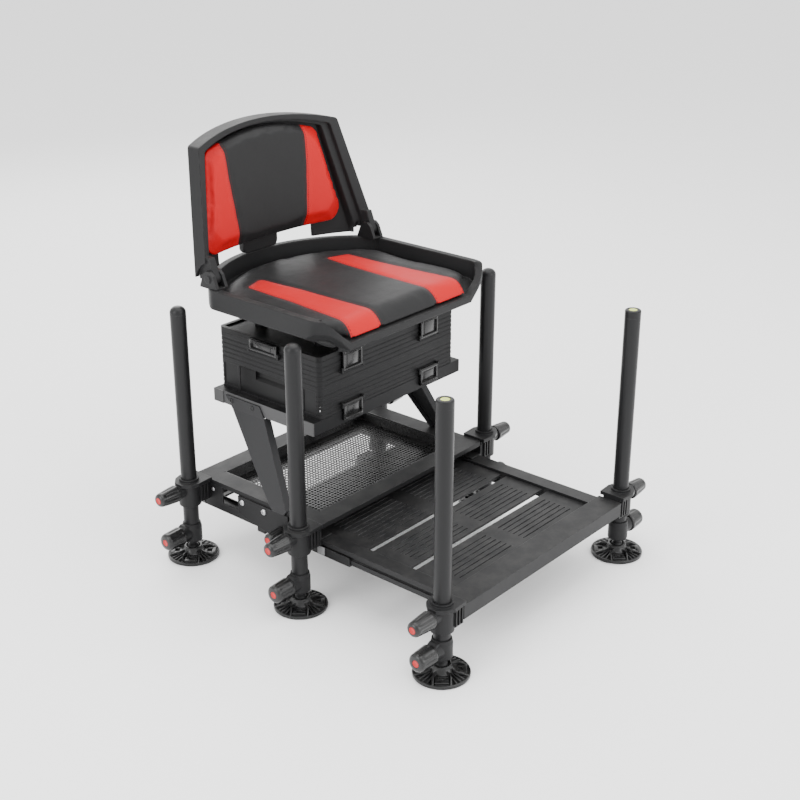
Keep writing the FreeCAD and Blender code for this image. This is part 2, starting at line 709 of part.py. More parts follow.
unit_top = box_bottom_z + drawer_unit_height
tray_top = unit_top + tray_height
drawer_y0 = box_front_y + 46
drawer_y1 = box_rear_y - 52
bay_end_x = -box_half_width + drawer_length + 6
unit = box_block(box_bottom_z, unit_top)
unit = unit.cut(box(-box_half_width - 1, bay_end_x, drawer_y0, drawer_y1, box_bottom_z + box_wall, unit_top - box_wall))
under_front = (drawer_y0 - box_wall) if drawer_y0 > box_front_y else drawer_y0
hollow_x = box_half_width - box_wall
for x0, x1, y0, y1 in ((-hollow_x, hollow_x, box_front_y + box_wall, under_front),
                       (-hollow_x, hollow_x, drawer_y1 + box_wall, box_rear_y - box_wall),
                       (bay_end_x + box_wall, hollow_x, drawer_y0, drawer_y1)):
    unit = unit.cut(box(x0, x1, y0, y1, box_bottom_z - 1, unit_top - box_wall))
column_panels = [(box_front_y + 10, drawer_y0 - 6), (drawer_y1 + 6, box_rear_y - 10)]
for y0, y1 in column_panels:
    unit = unit.cut(box(-box_half_width - 1, -box_half_width + 1.5, y0, y1, box_bottom_z + 7, unit_top - 5))
unit = ribbed(unit, box_bottom_z, unit_top, box(-box_half_width - 1, -box_half_width + 12, box_front_y + 9,
                                                box_rear_y - 9, box_bottom_z, unit_top))
for s in (-1, 1):
    unit = unit.fuse(clip_ears(s * clip_x, lower_clip_pivot_z, box_front_y))
save("drawer_unit", unit.removeSplitter().Solids[0])

tray = box_block(unit_top, tray_top)
tray = tray.cut(box_block(unit_top + box_wall, tray_top + 1, box_wall))
tray = ribbed(tray, unit_top, tray_top, None)
for s in (-1, 1):
    tray = tray.fuse(clip_ears(s * clip_x, upper_clip_pivot_z, box_front_y))
turn = FreeCAD.Rotation(Vector(0, 0, 1), -90)


def to_left_end(shape):
    # From the front wall to the -X end wall, keeping the middle of the clip at the box's middle
    copy = shape.copy()
    mid_y = (box_front_y + box_rear_y) / 2
    copy.rotate(Vector(0, mid_y, 0), Vector(0, 0, 1), -90)
    copy.translate(Vector(-box_half_width + (mid_y - box_front_y), 0, 0))
    return copy


end_ears = clip_ears(end_clip_mid, end_clip_pivot_z, box_front_y, end_clip_width)
tray = tray.fuse([to_left_end(e) for e in end_ears])
hinge_rod_y = box_rear_y + hinge_rod_radius + 4
hinge_rod_z = tray_top
knuckle_radius = hinge_rod_radius + 2.5
knuckle_span = hinge_rod_half_length / 5


def knuckles(first, wall_z0, wall_z1):
    # Alternate knuckles round the hinge rod, joined to the rear wall
    pieces = []
    for i in range(-5, 5):
        if (i % 2 == 0) == first:
            x0, x1 = i * knuckle_span + 0.4, (i + 1) * knuckle_span - 0.4
            barrel = rod_x(x0, x1, hinge_rod_y, hinge_rod_z, knuckle_radius)
            web = box(x0, x1, box_rear_y - 0.5, hinge_rod_y, wall_z0, wall_z1)
            piece = barrel.fuse(web)
            pieces.append(piece.cut(rod_x(x0 - 1, x1 + 1, hinge_rod_y, hinge_rod_z, hinge_rod_radius + 0.2)))
    return pieces


tray = tray.fuse(knuckles(True, hinge_rod_z - knuckle_radius, hinge_rod_z - 1))
hinge_rod = rod_x(-hinge_rod_half_length, hinge_rod_half_length, hinge_rod_y, hinge_rod_z, hinge_rod_radius)
save("top_tray", tray.removeSplitter().Solids[0], hinge_rod)

lid_bottom = tray_top + 0.4
lid_top = lid_bottom + lid_height
lid = box_block(lid_bottom, lid_top)
lid = lid.cut(box_block(lid_top - lid_skirt, lid_top + 1, 8))
lid = lid.cut(box_block(lid_bottom - 1, lid_bottom + 3, 8).cut(rod(0, swivel_y, 0, 1000, swivel_radius)))
lid = lid.fuse(knuckles(False, hinge_rod_z + 1, hinge_rod_z + knuckle_radius))
save("lid", lid.removeSplitter().Solids[0])


# Side drawer: an open tray with a scooped front
gap = drawer_side_gap
dx0, dx1 = -box_half_width + 0.5, -box_half_width + drawer_length
dy0, dy1 = drawer_y0 + gap, drawer_y1 - gap
dz0, dz1 = box_bottom_z + box_wall + 0.3, unit_top - box_wall - gap
drawer = box(dx0, dx1, dy0, dy1, dz0, dz1)
front_wall = 8.0
drawer = drawer.cut(box(dx0 + front_wall, dx1 - drawer_wall, dy0 + drawer_wall, dy1 - drawer_wall,
                        dz0 + drawer_wall, dz1 + 1))
scoop_y = (drawer_y0 + drawer_y1 - finger_scoop_width) / 2
scoop_x = dx0 + finger_scoop_depth
scoop = prism([(dx0 - 1, scoop_y, finger_scoop_z - 1), (dx0 - 1, scoop_y, dz1 + 1), (scoop_x, scoop_y, dz1 + 1),
               (scoop_x, scoop_y, finger_scoop_z + 6)], Vector(0, finger_scoop_width, 0))
save("side_drawer", drawer.cut(scoop))

for name, mid in (("left", clip_x), ("right", -clip_x)):
    save("clip_upper_" + name, clip(mid, upper_clip_pivot_z, box_front_y, 1))
    save("clip_lower_" + name, clip(mid, lower_clip_pivot_z, box_front_y, -1, clip_width, lower_clip_height))
end_clip = clip(end_clip_mid, end_clip_pivot_z, box_front_y, 1, end_clip_width, end_clip_height)
save("clip_end", to_left_end(end_clip))


# Swivel between the lid and the seat
pad_z0 = lid_top - lid_skirt
pad_z1 = pad_z0 + mount_pad_height
plate_z1 = pad_z1 + mount_plate_sheet
mount_plate = rounded_box(-mount_plate_half_x, mount_plate_half_x, swivel_y - mount_plate_half_y,
                          swivel_y + mount_plate_half_y, pad_z1, plate_z1, 8)
pads = [rod(sx * (mount_plate_half_x - 20), swivel_y + sy * (mount_plate_half_y - 20), pad_z0, pad_z1,
            mount_pad_radius) for sx in (-1, 1) for sy in (-1, 1)]
lower_ring = rod(0, swivel_y, plate_z1, plate_z1 + swivel_height, swivel_radius)
spigot_top = plate_z1 + 2 * swivel_height - 4
lower_ring = lower_ring.fuse(rod(0, swivel_y, plate_z1, spigot_top, 20)).removeSplitter()
save("swivel_base", mount_plate, *pads, lower_ring)
ring_z0 = plate_z1 + swivel_height + swivel_gap
ring_z1 = seat_pan_z - mount_plate_sheet - swivel_plate_sheet + 1
upper_ring = rod(0, swivel_y, ring_z0, ring_z1, swivel_radius - 5)
top_plate = rounded_box(-swivel_plate_half, swivel_plate_half, swivel_y - swivel_plate_half,
                        swivel_y + swivel_plate_half, ring_z1, ring_z1 + swivel_plate_sheet, 10)
upper = upper_ring.fuse(top_plate).removeSplitter()
upper = upper.cut(rod(0, swivel_y, ring_z0 - 1, spigot_top + 0.4, 20 + swivel_gap))
seat_pads = [rod(sx * (swivel_plate_half - 16), swivel_y + sy * (swivel_plate_half - 16),
                 ring_z1 + swivel_plate_sheet, seat_pan_z, mount_pad_radius) for sx in (-1, 1) for sy in (-1, 1)]
save("swivel_top", upper, *seat_pads)


# Seat pan: a moulded tray with a broad rim that drops away at the front
def seat_solid(inset, z0, z1):
    half = seat_half_width - inset
    radius = seat_rear_radius - inset
    middle_y = seat_rear_y - seat_rear_radius
    side_y = middle_y + math.sqrt(radius ** 2 - half ** 2)
    front_y = seat_front_y + inset
    corner = seat_front_corner - inset
    bulge = corner * (1 - math.sqrt(0.5))

    def at(x, y):
        return Vector(x, y, z0)

    edges = [Part.Arc(at(-half, side_y), at(0, middle_y + radius), at(half, side_y)).toShape(),
             Part.makeLine(at(half, side_y), at(half, front_y + corner)),
             Part.Arc(at(half, front_y + corner), at(half - bulge, front_y + bulge), at(half - corner, front_y)).toShape(),
             Part.makeLine(at(half - corner, front_y), at(corner - half, front_y)),
             Part.Arc(at(corner - half, front_y), at(bulge - half, front_y + bulge), at(-half, front_y + corner)).toShape(),
             Part.makeLine(at(-half, front_y + corner), at(-half, side_y))]
    block = Part.Face(Part.Wire(edges)).extrude(Vector(0, 0, z1 - z0))
    return block.makeFillet(seat_rear_corner, [e for e in upright_edges(block) if e.BoundBox.YMin > swivel_y])


wide = seat_half_width + 10
ring = seat_solid(0, seat_lip_z, seat_rim_top_z).cut(seat_solid(seat_rim_width, seat_lip_z - 1, seat_rim_top_z + 1))
hollow = seat_solid(seat_wall, seat_lip_z - 1, seat_rim_top_z - seat_wall)
hollow = hollow.cut(seat_solid(seat_rim_width - seat_wall, seat_lip_z - 2, seat_rim_top_z))
hollow = hollow.cut(box(-wide, wide, seat_front_y - 1, seat_bend_y + 12, seat_lip_z - 2, seat_rim_top_z))
ring = ring.cut(hollow)
ring = ring.cut(prism([(-wide, seat_bend_y - 28, seat_lip_z - 1), (-wide, seat_bend_y + 8, seat_rim_bottom_z),
                       (-wide, seat_rear_y + 5, seat_rim_bottom_z), (-wide, seat_rear_y + 5, seat_lip_z - 1)],
                      Vector(2 * wide, 0, 0)))
notch = [(-seat_notch_half, seat_rim_top_z + 1), (-seat_lip_corner_half, seat_lip_corner_z),
         (-seat_lip_half, seat_lip_top_z), (seat_lip_half, seat_lip_top_z),
         (seat_lip_corner_half, seat_lip_corner_z), (seat_notch_half, seat_rim_top_z + 1)]
ring = ring.cut(prism([(x, seat_front_y - 1, z) for x, z in notch], Vector(0, 28, 0)))


def sweep_z(x, y):
    # Height of the plane that trims the rim's underside up towards each front corner
    return seat_lip_z + seat_sweep_rise * (x - seat_sweep_half) - seat_sweep_fall * (y - seat_front_y)


sweep_plan = [(seat_sweep_half, seat_front_y - 1), (wide, seat_front_y - 1), (wide, seat_bend_y + 18)]
under_corner = prism([(x, y, sweep_z(x, y)) for x, y in sweep_plan], Vector(0, 0, -90))
ring = ring.cut(under_corner).cut(mirrored(under_corner))
lip_inner_y = seat_front_y + seat_rim_width
pan_top = seat_pan_z + seat_pan_sheet
pan = prism([(-wide, lip_inner_y, seat_lip_top_z - seat_pan_sheet), (-wide, lip_inner_y, seat_lip_top_z),
             (-wide, seat_bend_y, pan_top), (-wide, seat_rear_y, pan_top), (-wide, seat_rear_y, seat_pan_z),
             (-wide, seat_bend_y, seat_pan_z)], Vector(2 * wide, 0, 0))
pan = pan.common(seat_solid(seat_rim_width - 1, seat_lip_z, seat_rim_top_z))
save("seat_shell", ring.fuse(pan).removeSplitter().Solids[0])


# Seat cushion with a rolled front and two sewn-in strips
def seat_cushion_block(drop, edge):
    low = seat_cushion_gap
    top = seat_cushion_top_z - drop
    front = seat_cushion_front_y
    lip = [Vector(-wide, front, seat_lip_top_z + low), Vector(-wide, lip_inner_y, seat_lip_top_z + low),
           Vector(-wide, seat_bend_y, pan_top + low), Vector(-wide, seat_rear_y, pan_top + low),
           Vector(-wide, seat_rear_y, top), Vector(-wide, seat_bend_y - 10, top)]
    nose = Vector(-wide, front + drop, seat_lip_top_z + low + 4)
    edges = [Part.makeLine(lip[i], lip[i + 1]) for i in range(5)]
    middle = Vector(-wide, front + drop + 11, top - 8)
    edges.append(Part.Arc(lip[5], middle, nose).toShape())
    if drop:
        edges.append(Part.makeLine(nose, Vector(-wide, front + drop, seat_lip_top_z + low)))
        edges[0] = Part.makeLine(Vector(-wide, front + drop, seat_lip_top_z + low), lip[1])
    else:
        edges.append(Part.makeLine(nose, lip[0]))
    block = Part.Face(Part.Wire(edges)).extrude(Vector(2 * wide, 0, 0))
    half, narrow = seat_cushion_half, seat_cushion_front_half
    z = seat_lip_z

    def at(x, y):
        return Vector(x, y, z)

    right = [at(half, seat_cushion_side_y), at(half, seat_bend_y + 4), at(narrow + 1.5, lip_inner_y + 1.5),
             at(narrow, front)]
    left = [Vector(-p.x, p.y, p.z) for p in reversed(right)]
    ring_points = right + left
    outline = [Part.makeLine(ring_points[i], ring_points[i + 1]) for i in range(7)]
    outline.append(Part.Arc(left[3], at(0, seat_cushion_rear_y), right[0]).toShape())
    plan = Part.Face(Part.Wire(outline)).extrude(Vector(0, 0, 80))
    corners = [e for e in upright_edges(plan) if e.BoundBox.YMin > front + 1]
    block = block.common(plan.makeFillet(12, corners))
    if edge:
        rim = [e for e in block.Edges if e.BoundBox.ZMin > top - 0.01 and e.BoundBox.YMax > seat_bend_y]
        block = block.makeFillet(edge, rim)
    return block


def seam(points, z0, z1):
    # Upright strips of seam width along a line of plan points
    strips = []
    for (xa, ya), (xb, yb) in zip(points, points[1:]):
        length = math.hypot(xb - xa, yb - ya)
        nx, ny = (yb - ya) / length * seam_width / 2, (xa - xb) / length * seam_width / 2
        strips.append(prism([(xa + nx, ya + ny, z0), (xb + nx, yb + ny, z0), (xb - nx, yb - ny, z0),
                             (xa - nx, ya - ny, z0)], Vector(0, 0, z1 - z0)))
    return strips


seat_cushion = seat_cushion_block(0, seat_cushion_edge)
seam_floor = seat_cushion_block(seam_depth, 0)
strip_line = [(strip_inner_front, seat_cushion_front_y - 5), (strip_inner_front, strip_mid_y),
              (strip_inner_rear, strip_rear_y + 8), (strip_outer_rear, strip_rear_y - 8),
              (strip_outer_mid, strip_mid_y), (strip_outer_front, seat_bend_y),
              (strip_outer_front + 1, seat_cushion_front_y - 5)]
for strip in seam(strip_line, seat_lip_z, seat_rim_top_z):
    groove = strip.cut(seam_floor)
    seat_cushion = seat_cushion.cut(groove).cut(mirrored(groove))
save("seat_cushion", seat_cushion.removeSplitter().Solids[0])


# Hinge brackets on the seat rim: two cheeks on a base, with a pin through them
def hinge_bracket():
    inner = tongue_x - cheek_gap - cheek_sheet
    outer = tongue_x + tongue_thickness + cheek_gap
    base_z = seat_rim_top_z + 3
    reach = 22.0
    base = box(inner, outer + cheek_sheet, hinge_y - reach, hinge_y + reach, seat_rim_top_z, base_z)
    side = [(hinge_y - reach, base_z), (hinge_y + reach, base_z), (hinge_y + 13, hinge_z + 8),
            (hinge_y + 5, hinge_z + 15), (hinge_y - 5, hinge_z + 15), (hinge_y - 13, hinge_z + 8)]
    cheeks = [prism([(x, y, z) for y, z in side], Vector(cheek_sheet, 0, 0)) for x in (inner, outer)]
    pin = rod_x(inner, outer + cheek_sheet + 2, hinge_y, hinge_z, hinge_pin_radius)
    head = rod_x(outer + cheek_sheet, outer + cheek_sheet + 2, hinge_y, hinge_z, hinge_pin_radius + 3)
    return base.fuse(cheeks + [pin, head]).removeSplitter()


bracket = hinge_bracket()
save("hinge_brackets", bracket, mirrored(bracket))


# Backrest shell: a band curved in plan and leaning back, cut to its front outline
def back_share(z):
    return (z - back_low_z) / (back_corner_z - back_low_z)


def back_half(z):
    return back_low_half + (back_top_half - back_low_half) * back_share(z)


def blend(low, top, z):
    return low + (top - low) * back_share(z)


def band(front_mid, front_sweep, rear_mid, rear_sweep, low_z=tab_bottom_z - 5, margin=8.0):
    # Each of the first four is a pair: the value low down and the value at the top corners
    sections = []
    for z in (low_z, back_top_z + 5):
        half = back_half(z) + margin
        grow = (half / back_half(z)) ** 2
        arcs = []
        for mid, sweep in ((front_mid, front_sweep), (rear_mid, rear_sweep)):
            y = blend(mid[0], mid[1], z)
            edge_y = y - blend(sweep[0], sweep[1], z) * grow
            arcs.append((Vector(-half, edge_y, z), Vector(0, y, z), Vector(half, edge_y, z)))
        (a, b, c), (d, e, f) = arcs
        sections.append(Part.Wire([Part.Arc(a, b, c).toShape(), Part.makeLine(c, f),
                                   Part.Arc(f, e, d).toShape(), Part.makeLine(d, a)]))
    return Part.makeLoft(sections, True, True)


def back_outline(side_inset, top_inset, bottom_z, radius, low_radius=0.0):
    # Prism through the back, straight at the sides and crowned at the top
    corner_z = back_corner_z - top_inset
    corner = back_half(corner_z) - side_inset
    low = back_half(bottom_z) - side_inset
    y = back_cut_front_y

    def at(x, z):
        return Vector(x, y, z)

    edges = [Part.makeLine(at(-low, bottom_z), at(-corner, corner_z)),
             Part.Arc(at(-corner, corner_z), at(0, back_top_z - top_inset), at(corner, corner_z)).toShape(),
             Part.makeLine(at(corner, corner_z), at(low, bottom_z)), Part.makeLine(at(low, bottom_z), at(-low, bottom_z))]
    block = Part.Face(Part.Wire(edges)).extrude(Vector(0, back_cut_depth, 0))
    through = [e for e in block.Edges if e.BoundBox.YLength > back_cut_depth - 1]
    tops = [e for e in through if e.BoundBox.ZMin > hinge_z + 40]
    block = block.makeFillet(radius, tops)
    if low_radius:
        lows = [e for e in block.Edges if e.BoundBox.YLength > back_cut_depth - 1
                and e.BoundBox.XLength < 0.01 and e.BoundBox.ZMax < hinge_z + 40]
        block = block.makeFillet(low_radius, lows)
    return block


def both(pair, step):
    return (pair[0] + step, pair[1] + step)


face_y = (back_low_y, back_top_y)
face_sweep = (back_low_sweep, back_top_sweep)
depth = back_thickness
deep = (back_deep_low, back_deep_top)
rear_face = (back_low_y + depth + deep[0], back_top_y + depth + deep[1])
rear_sweep = (back_low_sweep + deep[0], back_top_sweep + deep[1])
floor_face = both(rear_face, -back_wall)
shell = band(face_y, face_sweep, rear_face, rear_sweep)
shell = shell.common(back_outline(0, 0, arm_bottom_z, back_corner_radius))
step = band(both(face_y, -60), face_sweep, both(face_y, back_step_depth), face_sweep)
shell = shell.cut(step.common(back_outline(back_rim, back_top_rim, arm_bottom_z - 5, back_corner_radius)))
floor = band(both(face_y, -60), face_sweep, floor_face, rear_sweep)
floor_top = back_cushion_top_inset - 1
recess = floor.common(back_outline(back_floor_inset, floor_top, arm_bottom_z - 5, back_corner_radius))
shell = shell.cut(recess)
gap_y0, gap_y1 = back_cut_front_y, back_cut_rear_y
shell = shell.cut(box(-back_gap_outer_x, back_gap_outer_x, gap_y0, gap_y1, arm_bottom_z - 1, back_bottom_z))
tab = box(-tab_half_width, tab_half_width, tab_front_y, tab_rear_y, tab_bottom_z, back_bottom_z + 14)
tab = tab.makeFillet(12, [e for e in tab.Edges if e.BoundBox.YLength > 1 and e.BoundBox.ZMax < tab_bottom_z + 1])
shell = shell.fuse(tab.cut(recess))
tongue_end = tongue_x + tongue_thickness
bite = 29.0
for x0, x1 in ((tongue_x - cheek_gap - cheek_sheet - 1, tongue_x), (tongue_end, seat_half_width + 5)):
    cutter = rod_x(x0, x1, hinge_y, hinge_z, bite)
    cutter = cutter.fuse(box(x0, x1, hinge_y - bite, hinge_y + bite + 8, arm_bottom_z - 2, hinge_z))
    shell = shell.cut(cutter).cut(mirrored(cutter))
tongue = rod_x(tongue_x, tongue_end, hinge_y, hinge_z, 12.5)
tongue = tongue.fuse(prism([(tongue_x, hinge_y - 12.5, hinge_z), (tongue_x, hinge_y + 12.5, hinge_z),
                            (tongue_x, hinge_y + 30, hinge_z + bite + 8), (tongue_x, hinge_y + 2, hinge_z + bite + 8)],
                           Vector(tongue_thickness, 0, 0)))
under_tongue = box(tongue_x - 1, tongue_end + 1, hinge_y - 40, hinge_y + tongue_clearance, arm_bottom_z - 2, hinge_z + 2)
for piece in (tongue, mirrored(tongue)):
    cutter = under_tongue if piece is tongue else mirrored(under_tongue)
    shell = shell.cut(cutter).fuse(piece)
bore = rod_x(-wide, wide, hinge_y, hinge_z, hinge_pin_radius + 0.3)
shell = shell.cut(bore).removeSplitter()
save("back_shell", max(shell.Solids, key=lambda solid: solid.Volume))


# Back cushion, flatter than the shell, with a seam each side of the middle panel
cushion_y = (back_cushion_low_y, back_cushion_top_y)
cushion_sweep = (back_cushion_low_sweep, back_cushion_top_sweep)
rear_y = both(floor_face, -0.4)
cushion_cut = back_outline(back_cushion_inset, back_cushion_top_inset, back_bottom_z + 1, back_cushion_corner,
                           back_cushion_low_corner)
span = (back_bottom_z - 5, 5.0 - back_cushion_inset)
back_cushion = band(cushion_y, cushion_sweep, rear_y, rear_sweep, *span).common(cushion_cut)
front_face = min(back_cushion.Faces, key=lambda face: face.CenterOfMass.y - face.Area / 1000)
back_cushion = back_cushion.makeFillet(back_cushion_edge, front_face.Edges)
seam_bed = band(both(cushion_y, seam_depth), cushion_sweep, rear_y, rear_sweep, *span)
for s in (-1, 1):
    xa, za, xb, zb = s * back_seam_low, back_bottom_z - 2, s * back_seam_top, back_top_z
    w = seam_width / 2
    strip = prism([(xa - w, gap_y0, za), (xb - w, gap_y0, zb), (xb + w, gap_y0, zb), (xa + w, gap_y0, za)],
                  Vector(0, back_cut_depth, 0))
    back_cushion = back_cushion.cut(strip.cut(seam_bed))
save("back_cushion", back_cushion.removeSplitter().Solids[0])


# Footplate: front bar, two side rails and a slatted deck
bar = box(-bar_half_width, bar_half_width, bar_front_y, bar_rear_y, bar_bottom_z, rail_top_z)
t = bar_wall
bar = bar.cut(box(-bar_half_width - 1, bar_half_width + 1, bar_front_y + t, bar_rear_y - t,
                  bar_bottom_z + t, rail_top_z - t))
middle_y = bar_rear_y - 12
stop_block = box(-stop_block_width / 2, stop_block_width / 2, middle_y - stop_block_depth, middle_y,
                 bar_bottom_z - stop_block_height, bar_bottom_z)
catch = box(-catch_half_width, catch_half_width, bar_rear_y - 11, catch_rear_y, catch_bottom_z, bar_bottom_z)
catch = catch.fuse(box(-catch_half_width, catch_half_width, bar_rear_y, catch_rear_y, bar_bottom_z, catch_top_z))
save("footplate_bar", bar, stop_block, catch.removeSplitter())

t = rail_wall
rail = box(rail_inner_x, rail_outer_x, bar_rear_y, rail_rear_y, rail_bottom_z, rail_top_z)
rail = rail.cut(box(rail_inner_x + t, rail_outer_x - t - rail_groove_depth, bar_rear_y - 1, rail_rear_y + 1,
                    rail_bottom_z + t, rail_top_z - t))
groove_z = (rail_bottom_z + rail_top_z) / 2
rail = rail.cut(box(rail_outer_x - rail_groove_depth, rail_outer_x + 1, bar_rear_y - 1, rail_rear_y + 1,
                    groove_z - rail_groove_width / 2, groove_z + rail_groove_width / 2))
save("footplate_rails", rail, mirrored(rail))

planks = []
plank_width = plank_pitch - plank_gap
first_y = bar_rear_y + deck_front_gap
for y0, y1 in ((first_y, first_y + plank_width), (first_y + plank_pitch, first_y + plank_pitch + plank_width),
               (first_y + 2 * plank_pitch, deck_rear_y)):
    plank = box(-rail_inner_x, rail_inner_x, y0, y1, plank_top_z - plank_thickness, plank_top_z)
    slots = []
    y = y0 + plank_slot_margin
    while y < y1 - plank_slot_margin:
        for s in (-1, 1):
            mid = s * rail_inner_x * 0.46
            slots.append(box(mid - plank_slot_length / 2, mid + plank_slot_length / 2, y - plank_slot_width / 2,
                             y + plank_slot_width / 2, plank_top_z - plank_slot_depth, plank_top_z + 1))
        y += plank_slot_pitch
    planks.append(plank.cut(Part.makeCompound(slots)))
save("footplate_deck", *planks)

knob_face = guide_outer_x + side_plate_sheet + knob_seat_gap
save("slide_lock_knob_left", *placed_knob(slide_knob, knob_face, slide_knob_y, slide_knob_z))
save("slide_lock_knob_right", *placed_knob(slide_knob, -knob_face, slide_knob_y, slide_knob_z))
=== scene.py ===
import bpy, bmesh, math
from mathutils import Matrix, Vector


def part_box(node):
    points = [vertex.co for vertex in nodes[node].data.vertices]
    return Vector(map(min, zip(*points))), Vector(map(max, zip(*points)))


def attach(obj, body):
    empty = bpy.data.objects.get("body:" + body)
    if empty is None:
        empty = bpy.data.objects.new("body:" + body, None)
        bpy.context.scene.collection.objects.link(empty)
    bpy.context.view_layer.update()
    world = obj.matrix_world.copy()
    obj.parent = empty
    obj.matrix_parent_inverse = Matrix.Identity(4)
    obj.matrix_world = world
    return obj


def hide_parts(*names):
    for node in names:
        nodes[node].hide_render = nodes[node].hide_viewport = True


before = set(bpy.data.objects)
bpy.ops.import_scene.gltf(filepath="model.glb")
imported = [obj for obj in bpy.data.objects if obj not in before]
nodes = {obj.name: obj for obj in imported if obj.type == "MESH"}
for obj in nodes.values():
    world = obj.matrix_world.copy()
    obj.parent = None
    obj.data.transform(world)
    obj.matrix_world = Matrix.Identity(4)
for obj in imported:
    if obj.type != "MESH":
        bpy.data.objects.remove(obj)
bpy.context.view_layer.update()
scene = bpy.context.scene
mm = 0.001
print("frame loaded:", len(nodes), "nodes")

# Camera and light
cameraPlace = {"location": (-1.8012, -1.5472, 1.3378), "tilt": 66.82, "turn": -49.395, "lens": 62.06}
cameraData = bpy.data.cameras.new("camera")
cameraData.lens = cameraPlace["lens"]
cameraData.sensor_width = 36.0
camera = bpy.data.objects.new("camera", cameraData)
camera.location = cameraPlace["location"]
camera.rotation_euler = (math.radians(cameraPlace["tilt"]), 0, math.radians(cameraPlace["turn"]))
scene.collection.objects.link(camera)
scene.camera = camera


def addSoftbox(name, place, aim, size, power):
    data = bpy.data.lights.new(name, "AREA")
    data.shape = "RECTANGLE"
    data.size, data.size_y = size
    data.energy = power
    lamp = bpy.data.objects.new(name, data)
    lamp.location = place
    lamp.rotation_euler = (Vector(aim) - Vector(place)).to_track_quat("-Z", "Y").to_euler()
    scene.collection.objects.link(lamp)


addSoftbox("softboxTop", (0.1, -0.2, 3.0), (0, 0, 0.3), (3.2, 3.2), 92)
addSoftbox("softboxFront", (0.4, -3.0, 1.3), (0, 0, 0.4), (2.4, 1.8), 54)
addSoftbox("softboxLeft", (-2.9, 0.5, 1.6), (0, 0, 0.4), (1.6, 2.2), 60)
addSoftbox("softboxBack", (1.2, 2.8, 1.9), (0, 0, 0.4), (2.4, 1.6), 40)
world = bpy.data.worlds.new("studio")
world.use_nodes = True
world.node_tree.nodes["Background"].inputs["Color"].default_value = (1.0, 1.0, 1.0, 1)
world.node_tree.nodes["Background"].inputs["Strength"].default_value = 1.8
scene.world = world


# Node helpers
def addNode(tree, kind, inputs=None, **settings):
    # inputs are keyed by the socket's name or number, and are values or other nodes' sockets
    node = tree.nodes.new(kind)
    for key, value in settings.items():
        setattr(node, key, value)
    for key, item in (inputs or {}).items():
        if isinstance(item, bpy.types.NodeSocket):
            tree.links.new(item, node.inputs[key])
        else:
            node.inputs[key].default_value = item
    return node


def addNoise(tree, place, scale, detail, roughness=0.5):
    inputs = {"Vector": place, "Scale": scale, "Detail": detail, "Roughness": roughness}
    return addNode(tree, "ShaderNodeTexNoise", inputs).outputs["Fac"]


def addRange(tree, value, low, high, start=0.0, end=1.0):
    # Maps low to start and high to end, and stops there
    inputs = {"Value": value, "From Min": low, "From Max": high, "To Min": start, "To Max": end}
    return addNode(tree, "ShaderNodeMapRange", inputs).outputs["Result"]


def addMath(tree, operation, *items, clamp=False):
    node = addNode(tree, "ShaderNodeMath", dict(enumerate(items)), operation=operation, use_clamp=clamp)
    return node.outputs[0]


def mixColor(tree, mask, first, second):
    # first and second are colours or sockets
    first, second = ((*item, 1) if isinstance(item, tuple) else item for item in (first, second))
    return addNode(tree, "ShaderNodeMix", {0: mask, 6: first, 7: second}, data_type="RGBA").outputs[2]


def startGroup(name, inputs, outputs):
    group = bpy.data.node_groups.new(name, "ShaderNodeTree")
    for label, value in inputs.items():
        group.interface.new_socket(label, in_out="INPUT", socket_type="NodeSocketFloat").default_value = value
    for label, kind in outputs.items():
        group.interface.new_socket(label, in_out="OUTPUT", socket_type=kind)
    given = group.nodes.new("NodeGroupInput").outputs
    result = group.nodes.new("NodeGroupOutput").inputs
    return group, given, result, addNode(group, "ShaderNodeTexCoord").outputs["Object"]


def useGroup(tree, group, values):
    return addNode(tree, "ShaderNodeGroup", values, node_tree=group).outputs


def makeGrainGroup():
    # Moulded or cast grain: a height for the bump and a slow change of tone
    group, given, result, place = startGroup("surfaceGrain", {"Size": 900.0, "Cells": 0.5},
                                             {"Height": "NodeSocketFloat", "Tone": "NodeSocketFloat"})
    fine = addNoise(group, place, given["Size"], 3.0, 0.6)
    cells = addNode(group, "ShaderNodeTexVoronoi",
                    {"Vector": place, "Scale": given["Size"], "Randomness": 1.0}, feature="F1")
    mixed = addNode(group, "ShaderNodeMix", {0: given["Cells"], 2: fine, 3: cells.outputs["Distance"]},
                    data_type="FLOAT")
    group.links.new(mixed.outputs[0], result["Height"])
    group.links.new(addNoise(group, place, 9.0, 4.0, 0.65), result["Tone"])
    return group


def makeWearGroup():
    # Rubbed edges: where a rounded normal leaves the flat one, broken up by noise
    group, given, result, place = startGroup("edgeWear", {"Width": 0.0012, "Amount": 0.5},
                                             {"Mask": "NodeSocketFloat", "Normal": "NodeSocketVector"})
    rounded = addNode(group, "ShaderNodeBevel", {"Radius": given["Width"]}, samples=6).outputs["Normal"]
    flat = addNode(group, "ShaderNodeNewGeometry").outputs["Normal"]
    dot = addNode(group, "ShaderNodeVectorMath", {0: rounded, 1: flat}, operation="DOT_PRODUCT")
    edge = addRange(group, dot.outputs["Value"], 0.995, 0.80)
    patch = addRange(group, addNoise(group, place, 55.0, 5.0, 0.7), 0.42, 0.62)
    worn = addMath(group, "MULTIPLY", edge, patch)
    group.links.new(addMath(group, "MULTIPLY", worn, given["Amount"], clamp=True), result["Mask"])
    group.links.new(rounded, result["Normal"])
    return group


